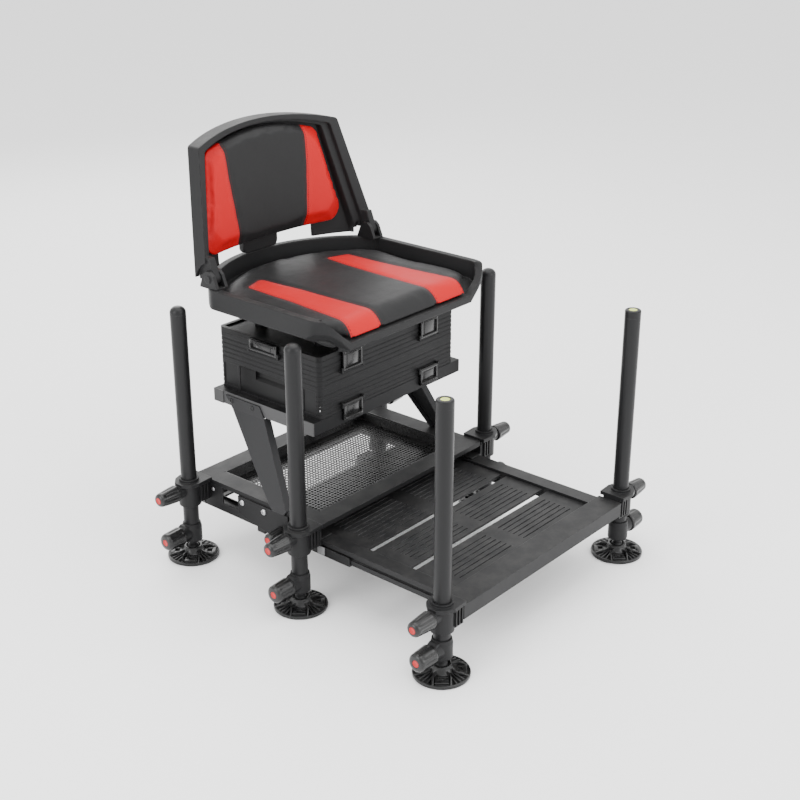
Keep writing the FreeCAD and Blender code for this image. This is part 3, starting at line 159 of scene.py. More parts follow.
def makeDustGroup():
    # Pale dust on what faces up
    group, given, result, place = startGroup("restingDust", {"Amount": 0.1}, {"Mask": "NodeSocketFloat"})
    normal = addNode(group, "ShaderNodeNewGeometry").outputs["Normal"]
    facing = addNode(group, "ShaderNodeSeparateXYZ", {0: normal}).outputs["Z"]
    up = addRange(group, facing, 0.55, 1.0)
    patch = addRange(group, addNoise(group, place, 26.0, 6.0, 0.75), 0.40, 0.72)
    both = addMath(group, "MULTIPLY", up, patch)
    group.links.new(addMath(group, "MULTIPLY", both, given["Amount"]), result["Mask"])
    return group


grainGroup, wearGroup, dustGroup = makeGrainGroup(), makeWearGroup(), makeDustGroup()
surface = {"dust": 0.05, "dustColor": (0.30, 0.29, 0.27), "bumpDepth": 0.0002, "coatRoughness": 0.25,
           "toneLow": 0.3, "toneHigh": 0.7, "drawnHeight": 0.5}


def makeFinish(name, look):
    material = bpy.data.materials.new(name)
    material.use_nodes = True
    tree = material.node_tree
    shader = tree.nodes["Principled BSDF"].inputs
    grain = useGroup(tree, grainGroup, {"Size": look["grain"], "Cells": look.get("cells", 0.3)})
    wear = useGroup(tree, wearGroup, {"Width": look["edge"], "Amount": look["wear"]})
    dust = useGroup(tree, dustGroup, {"Amount": surface["dust"]})
    color = mixColor(tree, grain["Tone"], look["color"], look["colorTwo"])
    color = mixColor(tree, wear["Mask"], color, look["worn"])
    color = mixColor(tree, dust["Mask"], color, surface["dustColor"])
    tree.links.new(color, shader["Base Color"])
    rough = addRange(tree, grain["Tone"], surface["toneLow"], surface["toneHigh"], *look["roughness"])
    tree.links.new(rough, shader["Roughness"])
    shader["Metallic"].default_value = look.get("metallic", 0.0)
    shader["Specular IOR Level"].default_value = look.get("specular", 0.5)
    shader["Coat Weight"].default_value = look.get("coat", 0.0)
    shader["Coat Roughness"].default_value = surface["coatRoughness"]
    height = grain["Height"]
    if "drawn" in look:  # fine lines along an extrusion
        place = addNode(tree, "ShaderNodeTexCoord").outputs["Object"]
        squeeze = addNode(tree, "ShaderNodeMapping", {"Vector": place, "Scale": look["drawn"]}).outputs[0]
        lines = addNoise(tree, squeeze, 1.0, 2.0)
        height = addMath(tree, "MULTIPLY_ADD", lines, surface["drawnHeight"], height)
    bump = addNode(tree, "ShaderNodeBump", {"Strength": look["bump"], "Distance": surface["bumpDepth"],
                                            "Height": height, "Normal": wear["Normal"]})
    tree.links.new(bump.outputs["Normal"], shader["Normal"])
    return material


finishes = {
    "tube": {"color": (0.0087, 0.0087, 0.0093), "colorTwo": (0.0124, 0.0124, 0.013),
             "worn": (0.07, 0.07, 0.073), "roughness": (0.3, 0.42), "metallic": 0.2, "specular": 0.23,
             "grain": 700.0, "bump": 0.12, "drawn": (900, 900, 12), "wear": 0.5, "edge": 0.001},
    "frame": {"color": (0.01, 0.01, 0.0105), "colorTwo": (0.014, 0.014, 0.0145),
              "worn": (0.098, 0.098, 0.101), "roughness": (0.38, 0.52), "metallic": 0.2, "specular": 0.15,
              "grain": 520.0, "bump": 0.18, "wear": 0.6, "edge": 0.0012},
    "riser": {"color": (0.02, 0.02, 0.021), "colorTwo": (0.027, 0.027, 0.028), "worn": (0.126, 0.126, 0.13),
              "roughness": (0.4, 0.54), "metallic": 0.2, "specular": 0.16, "grain": 520.0, "bump": 0.18,
              "wear": 0.6, "edge": 0.0012},
    "crossRail": {"color": (0.011, 0.011, 0.0115), "colorTwo": (0.016, 0.016, 0.0165),
                  "worn": (0.119, 0.119, 0.122), "roughness": (0.36, 0.48), "metallic": 0.1, "specular": 0.16,
                  "grain": 700.0, "bump": 0.15, "drawn": (12, 900, 900), "wear": 0.6, "edge": 0.0012},
    "carrier": {"color": (0.0066, 0.0066, 0.0072), "colorTwo": (0.0096, 0.0096, 0.0102),
                "worn": (0.07, 0.07, 0.073), "roughness": (0.4, 0.52), "metallic": 0.15, "specular": 0.16,
                "grain": 700.0, "bump": 0.15, "drawn": (12, 900, 900), "wear": 0.5, "edge": 0.0012},
    "railCap": {"color": (0.045, 0.045, 0.046), "colorTwo": (0.057, 0.057, 0.058), "worn": (0.14, 0.14, 0.14),
                "roughness": (0.4, 0.52), "specular": 0.2, "grain": 900.0, "bump": 0.2, "wear": 0.4,
                "edge": 0.0008},
    "longRail": {"color": (0.011, 0.011, 0.0115), "colorTwo": (0.015, 0.015, 0.0155),
                 "worn": (0.112, 0.112, 0.115), "roughness": (0.34, 0.46), "metallic": 0.25, "specular": 0.23,
                 "grain": 700.0, "bump": 0.15, "drawn": (900, 12, 900), "wear": 0.6, "edge": 0.0012},
    "clamp": {"color": (0.0072, 0.0072, 0.0078), "colorTwo": (0.0108, 0.0108, 0.0114),
              "worn": (0.056, 0.056, 0.056), "roughness": (0.36, 0.52), "specular": 0.2, "grain": 1100.0,
              "cells": 0.5, "bump": 0.45, "wear": 0.45, "edge": 0.0016},
    "seat": {"color": (0.011, 0.011, 0.0115), "colorTwo": (0.015, 0.015, 0.0155),
             "worn": (0.063, 0.063, 0.063), "roughness": (0.44, 0.58), "specular": 0.15, "grain": 1300.0,
             "cells": 0.7, "bump": 0.55, "wear": 0.3, "edge": 0.0045},
    "caseShell": {"color": (0.008, 0.008, 0.0085), "colorTwo": (0.0115, 0.0115, 0.012),
                  "worn": (0.063, 0.063, 0.063), "roughness": (0.42, 0.56), "specular": 0.14, "grain": 1200.0,
                  "cells": 0.5, "bump": 0.4, "wear": 0.35, "edge": 0.001},
    "caseDark": {"color": (0.003, 0.003, 0.0032), "colorTwo": (0.005, 0.005, 0.0053),
                 "worn": (0.042, 0.042, 0.042), "roughness": (0.3, 0.44), "specular": 0.16, "grain": 1200.0,
                 "cells": 0.5, "bump": 0.3, "wear": 0.3, "edge": 0.001},
    "latch": {"color": (0.0035, 0.0035, 0.0038), "colorTwo": (0.0056, 0.0056, 0.006),
              "worn": (0.049, 0.049, 0.049), "roughness": (0.18, 0.28), "specular": 0.26, "coat": 0.3,
              "grain": 900.0, "bump": 0.12, "wear": 0.3, "edge": 0.0008},
    "grip": {"color": (0.0048, 0.0048, 0.0051), "colorTwo": (0.0078, 0.0078, 0.0081),
             "worn": (0.049, 0.049, 0.049), "roughness": (0.22, 0.34), "specular": 0.26, "coat": 0.3,
             "grain": 1000.0, "bump": 0.2, "wear": 0.3, "edge": 0.0012},
    "redCap": {"color": (0.36, 0.001, 0.002), "colorTwo": (0.42, 0.002, 0.003), "worn": (0.5, 0.06, 0.06),
               "roughness": (0.28, 0.38), "specular": 0.3, "coat": 0.15, "grain": 900.0, "bump": 0.12,
               "wear": 0.3, "edge": 0.0006},
    "foot": {"color": (0.0042, 0.0042, 0.0045), "colorTwo": (0.0077, 0.0077, 0.008),
             "worn": (0.049, 0.049, 0.049), "roughness": (0.22, 0.36), "specular": 0.29, "coat": 0.15,
             "grain": 900.0, "cells": 0.4, "bump": 0.25, "wear": 0.5, "edge": 0.0012},
    "steel": {"color": (0.42, 0.42, 0.43), "colorTwo": (0.52, 0.52, 0.53), "worn": (0.75, 0.75, 0.75),
              "roughness": (0.22, 0.34), "metallic": 0.9, "grain": 600.0, "bump": 0.1, "wear": 0.5,
              "edge": 0.0006},
    "darkSteel": {"color": (0.012, 0.012, 0.0126), "colorTwo": (0.018, 0.018, 0.0186),
                  "worn": (0.14, 0.14, 0.14), "roughness": (0.3, 0.42), "metallic": 0.6, "grain": 600.0,
                  "bump": 0.1, "wear": 0.5, "edge": 0.0006},
    "plug": {"color": (0.14, 0.14, 0.143), "colorTwo": (0.182, 0.182, 0.185), "worn": (0.252, 0.252, 0.252),
             "roughness": (0.4, 0.52), "grain": 900.0, "bump": 0.2, "wear": 0.4, "edge": 0.0008},
    "vial": {"color": (0.45, 0.55, 0.04), "colorTwo": (0.55, 0.62, 0.08), "worn": (0.7, 0.75, 0.4),
             "roughness": (0.12, 0.2), "coat": 0.8, "grain": 900.0, "bump": 0.05, "wear": 0.1,
             "edge": 0.0006},
}
paint = {name: makeFinish(name + "Finish", look) for name, look in finishes.items()}
print("finishes made:", len(paint))


def makeVinyl(name, look):
    # Upholstery: leather grain, soft creases, painted shade along each sewn line, stitches beside each sewn
    # line, red panels by signed distance
    material = bpy.data.materials.new(name)
    material.use_nodes = True
    tree = material.node_tree
    shader = tree.nodes["Principled BSDF"].inputs
    place = addNode(tree, "ShaderNodeTexCoord").outputs["Object"]
    grain = useGroup(tree, grainGroup, {"Size": look["grain"], "Cells": look["cells"]})
    edge = addNode(tree, "ShaderNodeAttribute", attribute_name="panelEdge").outputs["Fac"]
    run = addNode(tree, "ShaderNodeAttribute", attribute_name="panelRun").outputs["Fac"]
    dark = mixColor(tree, grain["Tone"], look["dark"], look["darkTwo"])
    red = mixColor(tree, grain["Tone"], look["red"], look["redTwo"])
    color = mixColor(tree, addRange(tree, edge, -look["join"], look["join"]), dark, red)
    away = addMath(tree, "ABSOLUTE", edge)
    # Painted shade: a near-black band along each seam, fading out over a small width, stands in for the shade
    # in the seam's crease
    color = mixColor(tree, addRange(tree, away, 0.0, look["seamShadeWidth"], 1.0, 0.0), color, look["seamShadeColor"])
    lane = addMath(tree, "COMPARE", away, look["lane"], look["laneHalf"])
    dash = addMath(tree, "SINE", addMath(tree, "MULTIPLY", run, 2 * math.pi / look["stitch"]))
    thread = addMath(tree, "GREATER_THAN", dash, look["gap"])
    stitch = addMath(tree, "MULTIPLY", lane, thread)
    color = mixColor(tree, stitch, color, look["thread"])
    dust = useGroup(tree, dustGroup, {"Amount": look["dust"]})
    color = mixColor(tree, dust["Mask"], color, surface["dustColor"])
    tree.links.new(color, shader["Base Color"])
    rough = addRange(tree, grain["Tone"], surface["toneLow"], surface["toneHigh"], *look["roughness"])
    tree.links.new(rough, shader["Roughness"])
    shader["Specular IOR Level"].default_value = look["specular"]
    shader["Sheen Weight"].default_value = look["sheen"]
    shader["Sheen Roughness"].default_value = look["sheenRoughness"]
    crease = addNoise(tree, place, *look["crease"])
    height = addMath(tree, "MULTIPLY_ADD", grain["Height"], look["grainHeight"], crease)
    height = addMath(tree, "MULTIPLY_ADD", stitch, look["stitchHeight"], height)
    bump = addNode(tree, "ShaderNodeBump", {"Strength": look["bump"], "Distance": look["bumpDepth"],
                                            "Height": height})
    tree.links.new(bump.outputs["Normal"], shader["Normal"])
    return material


# The near-black seam colour and its width below are painted shade for the seam crease
vinylLook = {"dark": (0.008, 0.008, 0.0084), "darkTwo": (0.013, 0.013, 0.0134), "red": (0.38, 0.001, 0.003),
             "redTwo": (0.44, 0.002, 0.005), "thread": (0.06, 0.004, 0.005),
             "seamShadeColor": (0.012, 0.012, 0.012), "roughness": (0.42, 0.54), "specular": 0.16, "sheen": 0.02,
             "sheenRoughness": 0.5, "dust": 0.02, "join": 0.0002, "seamShadeWidth": 0.0016, "lane": 0.0034,
             "laneHalf": 0.0005, "stitch": 0.0046, "gap": -0.35, "grain": 850.0, "cells": 0.8,
             "crease": (22.0, 3.0, 0.55), "grainHeight": 0.08, "stitchHeight": 0.25, "bump": 0.6,
             "bumpDepth": 0.0016}
vinyl = makeVinyl("vinylFinish", vinylLook)


# Piece helpers
def finishPiece(name, bm, body, materials, smoothAngle=40.0):
    bmesh.ops.recalc_face_normals(bm, faces=bm.faces)
    mesh = bpy.data.meshes.new(name)
    bm.to_mesh(mesh)
    bm.free()
    for material in materials:
        mesh.materials.append(material)
    mesh.shade_smooth()
    mesh.set_sharp_from_angle(angle=math.radians(smoothAngle))
    piece = bpy.data.objects.new(name, mesh)
    scene.collection.objects.link(piece)
    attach(piece, body)
    return piece


def spunShape(bm, profile, axis, steps=40):
    # profile is (along the axis, radius) pairs in millimetres, from end to end
    side = Vector((0, 0, 1)) if abs(axis.z) < 0.5 else Vector((1, 0, 0))
    verts = [bm.verts.new(axis * along * mm + side * radius * mm) for along, radius in profile]
    edges = [bm.edges.new(pair) for pair in zip(verts, verts[1:])]
    bmesh.ops.spin(bm, geom=verts + edges, cent=(0, 0, 0), axis=axis, angle=2 * math.pi, steps=steps,
                   use_merge=True)
    bmesh.ops.remove_doubles(bm, verts=bm.verts, dist=0.00002)


def block(bm, low, high, bevel):
    # A bevelled block between two corners in millimetres
    made = bmesh.ops.create_cube(bm, size=1.0)["verts"]
    size = [(high[i] - low[i]) * mm for i in range(3)]
    middle = [(high[i] + low[i]) / 2 * mm for i in range(3)]
    bmesh.ops.scale(bm, vec=size, verts=made)
    bmesh.ops.translate(bm, vec=middle, verts=made)
    edges = list({edge for vert in made for edge in vert.link_edges})
    bmesh.ops.bevel(bm, geom=edges, offset=bevel * mm, segments=2, affect="EDGES", profile=0.5, material=-1)


def merge(bm, other):
    # Adds another shape to this one
    shape = bpy.data.meshes.new("joinedShape")
    bmesh.ops.recalc_face_normals(other, faces=other.faces)
    other.to_mesh(shape)
    other.free()
    bm.from_mesh(shape)
    bpy.data.meshes.remove(shape)


def bake(piece):
    # Leaves the modified shape as the piece's own mesh
    graph = bpy.context.evaluated_depsgraph_get()
    graph.update()
    made = bpy.data.meshes.new_from_object(piece.evaluated_get(graph))
    piece.modifiers.clear()
    piece.data = made


def slopeTop(bm, above, start, share):
    # Lowers what lies above a height, the more the further out along x, in millimetres
    for vert in bm.verts:
        if vert.co.z > above * mm:
            vert.co.z -= max(0.0, vert.co.x - start * mm) * share


# Cushions
def signedDistance(x, y, outline):
    # Positive inside the outline
    inside, best = False, 1e9
    last = outline[-1]
    for point in outline:
        (xa, ya), (xb, yb) = last, point
        if (ya > y) != (yb > y) and x < xa + (y - ya) * (xb - xa) / (yb - ya):
            inside = not inside
        dx, dy = xb - xa, yb - ya
        along = max(0.0, min(1.0, ((x - xa) * dx + (y - ya) * dy) / (dx * dx + dy * dy)))
        best = min(best, math.hypot(x - xa - along * dx, y - ya - along * dy))
        last = point
    return best if inside else -best


clothForm = {"pressure": 4.0, "tension": 12.0, "bending": 1.0, "frames": 20}
padForm = {"join": 0.00001, "smooth": 0.5, "fullCapFrom": 0.8, "seamFull": 1.6}


def smoothAndBake(piece, rounds):
    smooth = piece.modifiers.new("smooth", "SMOOTH")
    smooth.factor = padForm["smooth"]
    smooth.iterations = rounds
    bake(piece)


def swellAsCloth(piece):
    # A short run with air pressed in and no gravity
    cloth = piece.modifiers.new("cloth", "CLOTH")
    cloth.settings.use_pressure = True
    cloth.settings.uniform_pressure_force = clothForm["pressure"]
    cloth.settings.effector_weights.gravity = 0.0
    cloth.settings.tension_stiffness = clothForm["tension"]
    cloth.settings.bending_stiffness = clothForm["bending"]
    for step in range(clothForm["frames"]):
        scene.frame_set(step + 1)
    bake(piece)
    scene.frame_set(1)


def paddedPiece(name, node, body, form):
    # The foam's solid is shrunk and remeshed, swells a little as cloth and is drawn in along its seam
    bm = bmesh.new()
    bm.from_mesh(nodes[node].data)
    bmesh.ops.remove_doubles(bm, verts=bm.verts, dist=padForm["join"])
    bm.normal_update()
    for vert in bm.verts:
        vert.co -= vert.normal * form["shrink"]
    mesh = bpy.data.meshes.new(name)
    bm.to_mesh(mesh)
    bm.free()
    piece = bpy.data.objects.new(name, mesh)
    scene.collection.objects.link(piece)
    remesh = piece.modifiers.new("remesh", "REMESH")
    remesh.mode = "VOXEL"
    remesh.voxel_size = form["voxel"]
    smoothAndBake(piece, form["soften"])
    rest = [vert.co.copy() for vert in piece.data.vertices]
    normals = [vert.normal.copy() for vert in piece.data.vertices]
    swellAsCloth(piece)
    front = Vector(form["front"])
    for vert, start, normal in zip(piece.data.vertices, rest, normals):
        facing = normal.dot(front)
        share = min(1.0, max(0.0, facing / padForm["fullCapFrom"])) ** 2
        cap = form["sideCap"] + (form["cap"] - form["sideCap"]) * share
        move = vert.co - start
        vert.co = start + (move.normalized() * min(move.length, cap) if move.length > 1e-9 else move)
    smoothAndBake(piece, form["relax"])
    across, up = form["plane"]
    edge = piece.data.attributes.new("panelEdge", "FLOAT", "POINT")
    run = piece.data.attributes.new("panelRun", "FLOAT", "POINT")
    for index, vert in enumerate(piece.data.vertices):
        away = signedDistance(abs(vert.co[across]), vert.co[up], form["panel"]) + form["round"]
        edge.data[index].value = away
        run.data[index].value = vert.co[up]
        share = min(1.0, max(0.0, normals[index].dot(front)) * padForm["seamFull"])
        vert.co -= front * form["seamDepth"] * math.exp(-(away / form["seamWidth"]) ** 2) * share
    smooth = piece.modifiers.new("subdivision", "SUBSURF")
    smooth.levels = smooth.render_levels = 1
    piece.data.materials.clear()
    piece.data.materials.append(vinyl)
    piece.data.shade_smooth()
    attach(piece, body)
    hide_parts(node)
    print("cushion made:", name, len(piece.data.vertices), "points")


# Panels are half outlines in metres, mirrored about the middle
seatPad = {"front": (0, 0, 1), "shrink": 0.0028, "voxel": 0.005, "soften": 2, "relax": 5,
           "cap": 0.0065, "sideCap": 0.0022, "plane": (0, 1),
           "panel": [(0.090, -0.080), (0.086, -0.030), (0.085, 0.000), (0.086, 0.048), (0.089, 0.170),
                     (0.096, 0.258), (0.130, 0.246), (0.134, 0.136), (0.146, 0.014), (0.150, -0.024),
                     (0.156, -0.080)],
           "round": 0.008, "seamDepth": 0.0030, "seamWidth": 0.006, "fill": 0.55}
backPad = {"front": (0, -1, 0), "shrink": 0.0022, "voxel": 0.0038, "soften": 4, "relax": 8,
           "cap": 0.0065, "sideCap": 0.0018, "plane": (0, 2),
           "panel": [(0.093, 0.550), (0.101, 0.629), (0.110, 0.706), (0.116, 0.830), (0.300, 0.830),
                     (0.300, 0.550)],
           "round": 0.008, "seamDepth": 0.0030, "seamWidth": 0.006, "fill": 0.5}
paddedPiece("seatPad", "seat_cushion", "seat", seatPad)
paddedPiece("backPad", "back_cushion", "backrest", backPad)


# Turning knobs: a tapered, fluted grip with a red cap
knobForm = {"rows": 12, "collar": 2.4, "tipRound": 7.0, "taper": 1.3, "flutes": 8, "depth": 0.085,
            "fluteStart": 0.08, "fluteEnd": 0.84, "fadeIn": 14, "fadeOut": 9, "ridge": 0.25, "hollow": 0.7,
            "core": 0.008}
knobSizes = {"clamp": {"length": 45.0, "base": 16.5, "tip": 13.5, "stud": 9.0},
             "foot": {"length": 39.0, "base": 18.5, "tip": 17.0, "stud": 9.0},
             "slide": {"length": 36.0, "base": 14.5, "tip": 12.5, "stud": 5.5}}


def gripShape(bm, length, base, tip, stud):
    # Spun about x from the stud to the tip, then fluted
    profile = [(-stud, 0), (-stud, 4), (0, 4), (0, base - 2.2), (0.8, base - 0.8), (knobForm["collar"], base)]
    taperLength = length - knobForm["collar"] - knobForm["tipRound"]
    for i in range(1, knobForm["rows"]):
        share = i / knobForm["rows"]
        radius = base + (tip - base) * share ** knobForm["taper"]
        profile.append((knobForm["collar"] + taperLength * share, radius))
    profile += [(length - knobForm["tipRound"], tip), (length - 4.4, tip - 0.5), (length - 2.4, tip - 1.6),
                (length - 1.0, tip - 3.2), (length - 0.3, tip - 4.8), (length, 7.2), (length - 0.8, 6.6),
                (length - 1.0, 0)]
    spunShape(bm, profile, Vector((1, 0, 0)), steps=64)
    start, end, ridge = knobForm["fluteStart"], knobForm["fluteEnd"], knobForm["ridge"]
    for vert in bm.verts:
        along = vert.co.x / mm / length
        if start < along < end and vert.co.yz.length > knobForm["core"]:
            fade = min(1.0, (along - start) * knobForm["fadeIn"], (end - along) * knobForm["fadeOut"])
            turn = math.atan2(vert.co.z, vert.co.y) * knobForm["flutes"]
            groove = max(0.0, math.cos(turn) - ridge) / (1 - ridge)
            vert.co.yz *= 1 - knobForm["depth"] * groove ** knobForm["hollow"] * fade


def makeKnob(name, node, size):
    low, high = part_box(node)
    length = size["length"]
    outward = 1 if (low.x + high.x) > 0 else -1
    middle = Vector((0, (low.y + high.y) / 2, (low.z + high.z) / 2))
    seat = (high.x if outward > 0 else -low.x) / mm - length  # where the grip starts
    bm = bmesh.new()
    gripShape(bm, **size)
    gripFaces = len(bm.faces)
    cap = bmesh.new()
    spunShape(cap, [(length - 1.4, 0), (length - 1.4, 6.4), (length - 0.5, 6.4), (length - 0.1, 6.0),
                    (length, 4.6), (length - 0.5, 3.8), (length - 0.5, 0)], Vector((1, 0, 0)))
    merge(bm, cap)
    bm.faces.ensure_lookup_table()
    for facet in bm.faces[gripFaces:]:
        facet.material_index = 1
    bmesh.ops.translate(bm, vec=(seat * mm, 0, 0), verts=bm.verts)
    if outward < 0:
        bmesh.ops.scale(bm, vec=(-1, 1, 1), verts=bm.verts)
    bmesh.ops.translate(bm, vec=middle, verts=bm.verts)
    piece = finishPiece(name, bm, node, [paint["grip"], paint["redCap"]])
    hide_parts(node)


spots = ["front_left", "front_right", "rear_left", "rear_right", "footplate_left", "footplate_right"]
for spot in spots:
    makeKnob("clampKnob_" + spot, "clamp_knob_" + spot, knobSizes["clamp"])
    makeKnob("footKnob_" + spot, "foot_knob_" + spot, knobSizes["foot"])
for side in ("left", "right"):
    makeKnob("slideKnob_" + side, "slide_lock_knob_" + side, knobSizes["slide"])
print("knobs made")

# Feet: a dished disc with arched lugs and radial ribs
footForm = {"disc": [(0, 0), (0, 47.5), (1.2, 49.6), (4.5, 50), (6.6, 49.4), (7.2, 47.6), (6.0, 45.5),
                     (5.2, 41), (5.6, 33), (7.6, 26), (11.6, 21.0), (17.5, 18.0), (21.3, 17.0), (22, 15.8),
                     (21.6, 13.6), (19.0, 12.2), (16, 12.3), (9, 9.7), (4.6, 3.4), (4.15, 0)],
            "lugs": 4, "turn": -2.443, "reach": 30.0, "radius": 17.0, "wall": 3.4, "top": 16.5, "end": 46,
            "archSlope": 0.14, "endSlope": 0.42, "ribSlope": 0.22, "ribTurns": (-0.2, 0.0, 0.2),
            "floor": [(17, 27, -12, 12), (27, 36, -12, -5), (27, 36, 5, 12), (36, 43, -12, 12)]}


def lugShape():
    # A half ring that stands highest at its bow, by the hub, with straight ends and a low floor inside
    radius, reach, top, end = footForm["radius"], footForm["reach"], footForm["top"], footForm["end"]
    inner = radius - footForm["wall"]
    lug = bmesh.new()
    corners = [(inner, 3), (radius, 3), (radius, top - 2), (radius - 0.8, top), (inner + 0.8, top),
               (inner, top - 2)]
    verts = [lug.verts.new((0, -away * mm, z * mm)) for away, z in corners]
    face = lug.faces.new(verts)
    bmesh.ops.spin(lug, geom=[face] + verts + list(face.edges), cent=(0, 0, 0), axis=(0, 0, 1),
                   angle=-math.pi, steps=20)
    slopeTop(lug, 6, -radius, footForm["archSlope"])
    bmesh.ops.translate(lug, vec=(reach * mm, 0, 0), verts=lug.verts)
    for y in (-radius, inner):
        straight = bmesh.new()
        block(straight, (reach - 1, y, 2), (end, y + footForm["wall"], 14.0), 0.8)
        slopeTop(straight, 8, reach, footForm["endSlope"])
        merge(lug, straight)
    for x0, x1, y0, y1 in footForm["floor"]:
        block(lug, (x0, y0, 2), (x1, y1, 10.0), 0.7)
    return lug


def makeFoot(spot):
    node = "foot_disc_" + spot
    low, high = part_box(node)
    middle = (low + high) / 2
    bm = bmesh.new()
    spunShape(bm, footForm["disc"], Vector((0, 0, 1)), steps=72)
    for i in range(footForm["lugs"]):
        angle = footForm["turn"] + 2 * math.pi * i / footForm["lugs"]
        lug = lugShape()
        bmesh.ops.rotate(lug, cent=(0, 0, 0), matrix=Matrix.Rotation(angle, 3, "Z"), verts=lug.verts)
        for step in footForm["ribTurns"]:
            rib = bmesh.new()
            block(rib, (17, -1.5, 3), (footForm["end"], 1.5, 12.5), 0.7)
            slopeTop(rib, 8, 20, footForm["ribSlope"])
            bmesh.ops.rotate(rib, cent=(0, 0, 0), verts=rib.verts,
                             matrix=Matrix.Rotation(angle + math.pi / footForm["lugs"] + step, 3, "Z"))
            merge(lug, rib)
        merge(bm, lug)
    bmesh.ops.translate(bm, vec=(middle.x, middle.y, low.z), verts=bm.verts)
    piece = finishPiece("foot_" + spot, bm, "foot_" + spot, [paint["foot"]], 32.0)
    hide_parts(node)


for spot in spots:
    makeFoot(spot)
print("feet made")

# Bait basket: a perforated floor and ribbed walls in the frame's opening
basketForm = {"pitch": 7.6, "inset": 0.17, "border": 2, "sheet": 1.4, "floorUp": 2.2, "wall": 2,
              "wallRibs": 3.2, "ribHeight": 1.3}


def wallRing(bm, low, high, bevel):
    # Four blocks that stand inside a box's sides
    (x0, y0, z0), (x1, y1, z1), wall = low, high, basketForm["wall"]
    for a, b in (((x0, y0), (x1, y0 + wall)), ((x0, y1 - wall), (x1, y1)),
                 ((x0, y0), (x0 + wall, y1)), ((x1 - wall, y0), (x1, y1))):
        block(bm, (*a, z0), (*b, z1), bevel)


def makeBasket():
    low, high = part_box("mesh_basket")
    pitch, ribs = basketForm["pitch"], basketForm["wallRibs"]
    width, depth = (high.x - low.x) / mm, (high.y - low.y) / mm
    columns, rows = round(width / pitch), round(depth / pitch)
    bm = bmesh.new()
    bmesh.ops.create_grid(bm, x_segments=columns, y_segments=rows, size=0.5)
    bmesh.ops.scale(bm, vec=(high.x - low.x - 0.001, high.y - low.y - 0.001, 1), verts=bm.verts)
    edge = basketForm["border"] * pitch
    cells = [face for face in bm.faces
             if abs(face.calc_center_median().x) < (width / 2 - edge) * mm
             and abs(face.calc_center_median().y) < (depth / 2 - edge) * mm]
    inset = pitch * basketForm["inset"] * mm
    bmesh.ops.inset_individual(bm, faces=cells, thickness=inset, use_even_offset=True)
    bmesh.ops.delete(bm, geom=cells, context="FACES")
    place = ((low.x + high.x) / 2, (low.y + high.y) / 2, low.z + basketForm["floorUp"] * mm)
    bmesh.ops.translate(bm, vec=place, verts=bm.verts)
    bmesh.ops.recalc_face_normals(bm, faces=bm.faces)
    bmesh.ops.solidify(bm, geom=bm.faces[:], thickness=basketForm["sheet"] * mm)
    x0, x1, y0, y1 = low.x / mm + 0.4, high.x / mm - 0.4, low.y / mm + 0.4, high.y / mm - 0.4
    z0, z1 = low.z / mm + 1, high.z / mm
    wallRing(bm, (x0, y0, z0), (x1, y1, z1), 0.3)
    for i in range(int((z1 - z0 - 3) / ribs)):  # pressed lines round the wall
        z = z0 + 3 + i * ribs
        wallRing(bm, (x0 + 1, y0 + 1, z), (x1 - 1, y1 - 1, z + basketForm["ribHeight"]), 0.35)
    piece = finishPiece("baitBasket", bm, "chassis", [paint["foot"]], 30.0)
    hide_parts("mesh_basket")


makeBasket()
print("basket made")

# Spirit levels in the footplate legs
vialShape = [(0, 0), (0, 8.0), (1.2, 8.0), (1.9, 7.2), (2.2, 5.0), (2.3, 0)]
for side in ("left", "right"):
    low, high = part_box("leg_footplate_" + side)
    bm = bmesh.new()
    spunShape(bm, vialShape, Vector((0, 0, 1)), steps=36)
    top = Vector(((low.x + high.x) / 2, (low.y + high.y) / 2, high.z - 0.0021))
    bmesh.ops.translate(bm, vec=top, verts=bm.verts)
    piece = finishPiece("levelVial_" + side, bm, "post_footplate_" + side, [paint["vial"]])

# Draw latches: a framed plate with a ridged grip, turning on a barrel
latchForm = {"thick": 6.0, "floor": 3.2, "border": 4.2, "grip": 7.0, "gripShare": 0.28, "ridges": 3,
             "proud": 9.0, "barrel": 3.3, "pin": 1.7, "lug": 4.0, "panel": 0.55}


def makeLatch(node, pivot, across, up, out, width, height):
    # Built with x along the pin, y outwards from the wall and z away from the pin
    bm = bmesh.new()
    half, thick, border, top = width / 2, latchForm["thick"], latchForm["border"], height - 2
    proud, barrel, pin = latchForm["proud"], latchForm["barrel"], latchForm["pin"]
    block(bm, (-half, 0, -1), (half, latchForm["floor"], top), 0.5)
    block(bm, (-half, 0, -1), (-half + border, thick, top), 1.0)
    block(bm, (half - border, 0, -1), (half, thick, top), 1.0)
    block(bm, (-half, 0, -1), (half, thick, 2.5), 1.0)
    grip = min(latchForm["grip"], height * latchForm["gripShare"])
    block(bm, (-half + 2, 0, top - grip), (half - 2, proud - 1.2, top), 1.4)
    for i in range(latchForm["ridges"]):
        z = top - grip + (i + 0.5) * grip / latchForm["ridges"]
        block(bm, (-half + 5, 6, z - 0.6), (half - 5, proud, z + 0.6), 0.4)
    panel = half * latchForm["panel"]
    block(bm, (-panel, 0, 5), (panel, 4.4, top - grip - 1.5), 0.8)
    reach = half + latchForm["lug"]
    rod = bmesh.new()
    spunShape(rod, [(-reach, 0), (-reach, pin), (-half, pin), (-half, barrel), (half, barrel), (half, pin),
                    (reach, pin), (reach, 0)], Vector((1, 0, 0)), steps=24)
    bmesh.ops.translate(rod, vec=(0, thick / 2 * mm, 0), verts=rod.verts)
    merge(bm, rod)
    turn = Matrix((across, out, up)).transposed()
    bmesh.ops.rotate(bm, cent=(0, 0, 0), matrix=turn, verts=bm.verts)
    bmesh.ops.translate(bm, vec=Vector(pivot) * mm - Vector(out) * thick / 2 * mm, verts=bm.verts)
    piece = finishPiece(node.replace("clip", "latch"), bm, node, [paint["latch"]], 32.0)
    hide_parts(node)


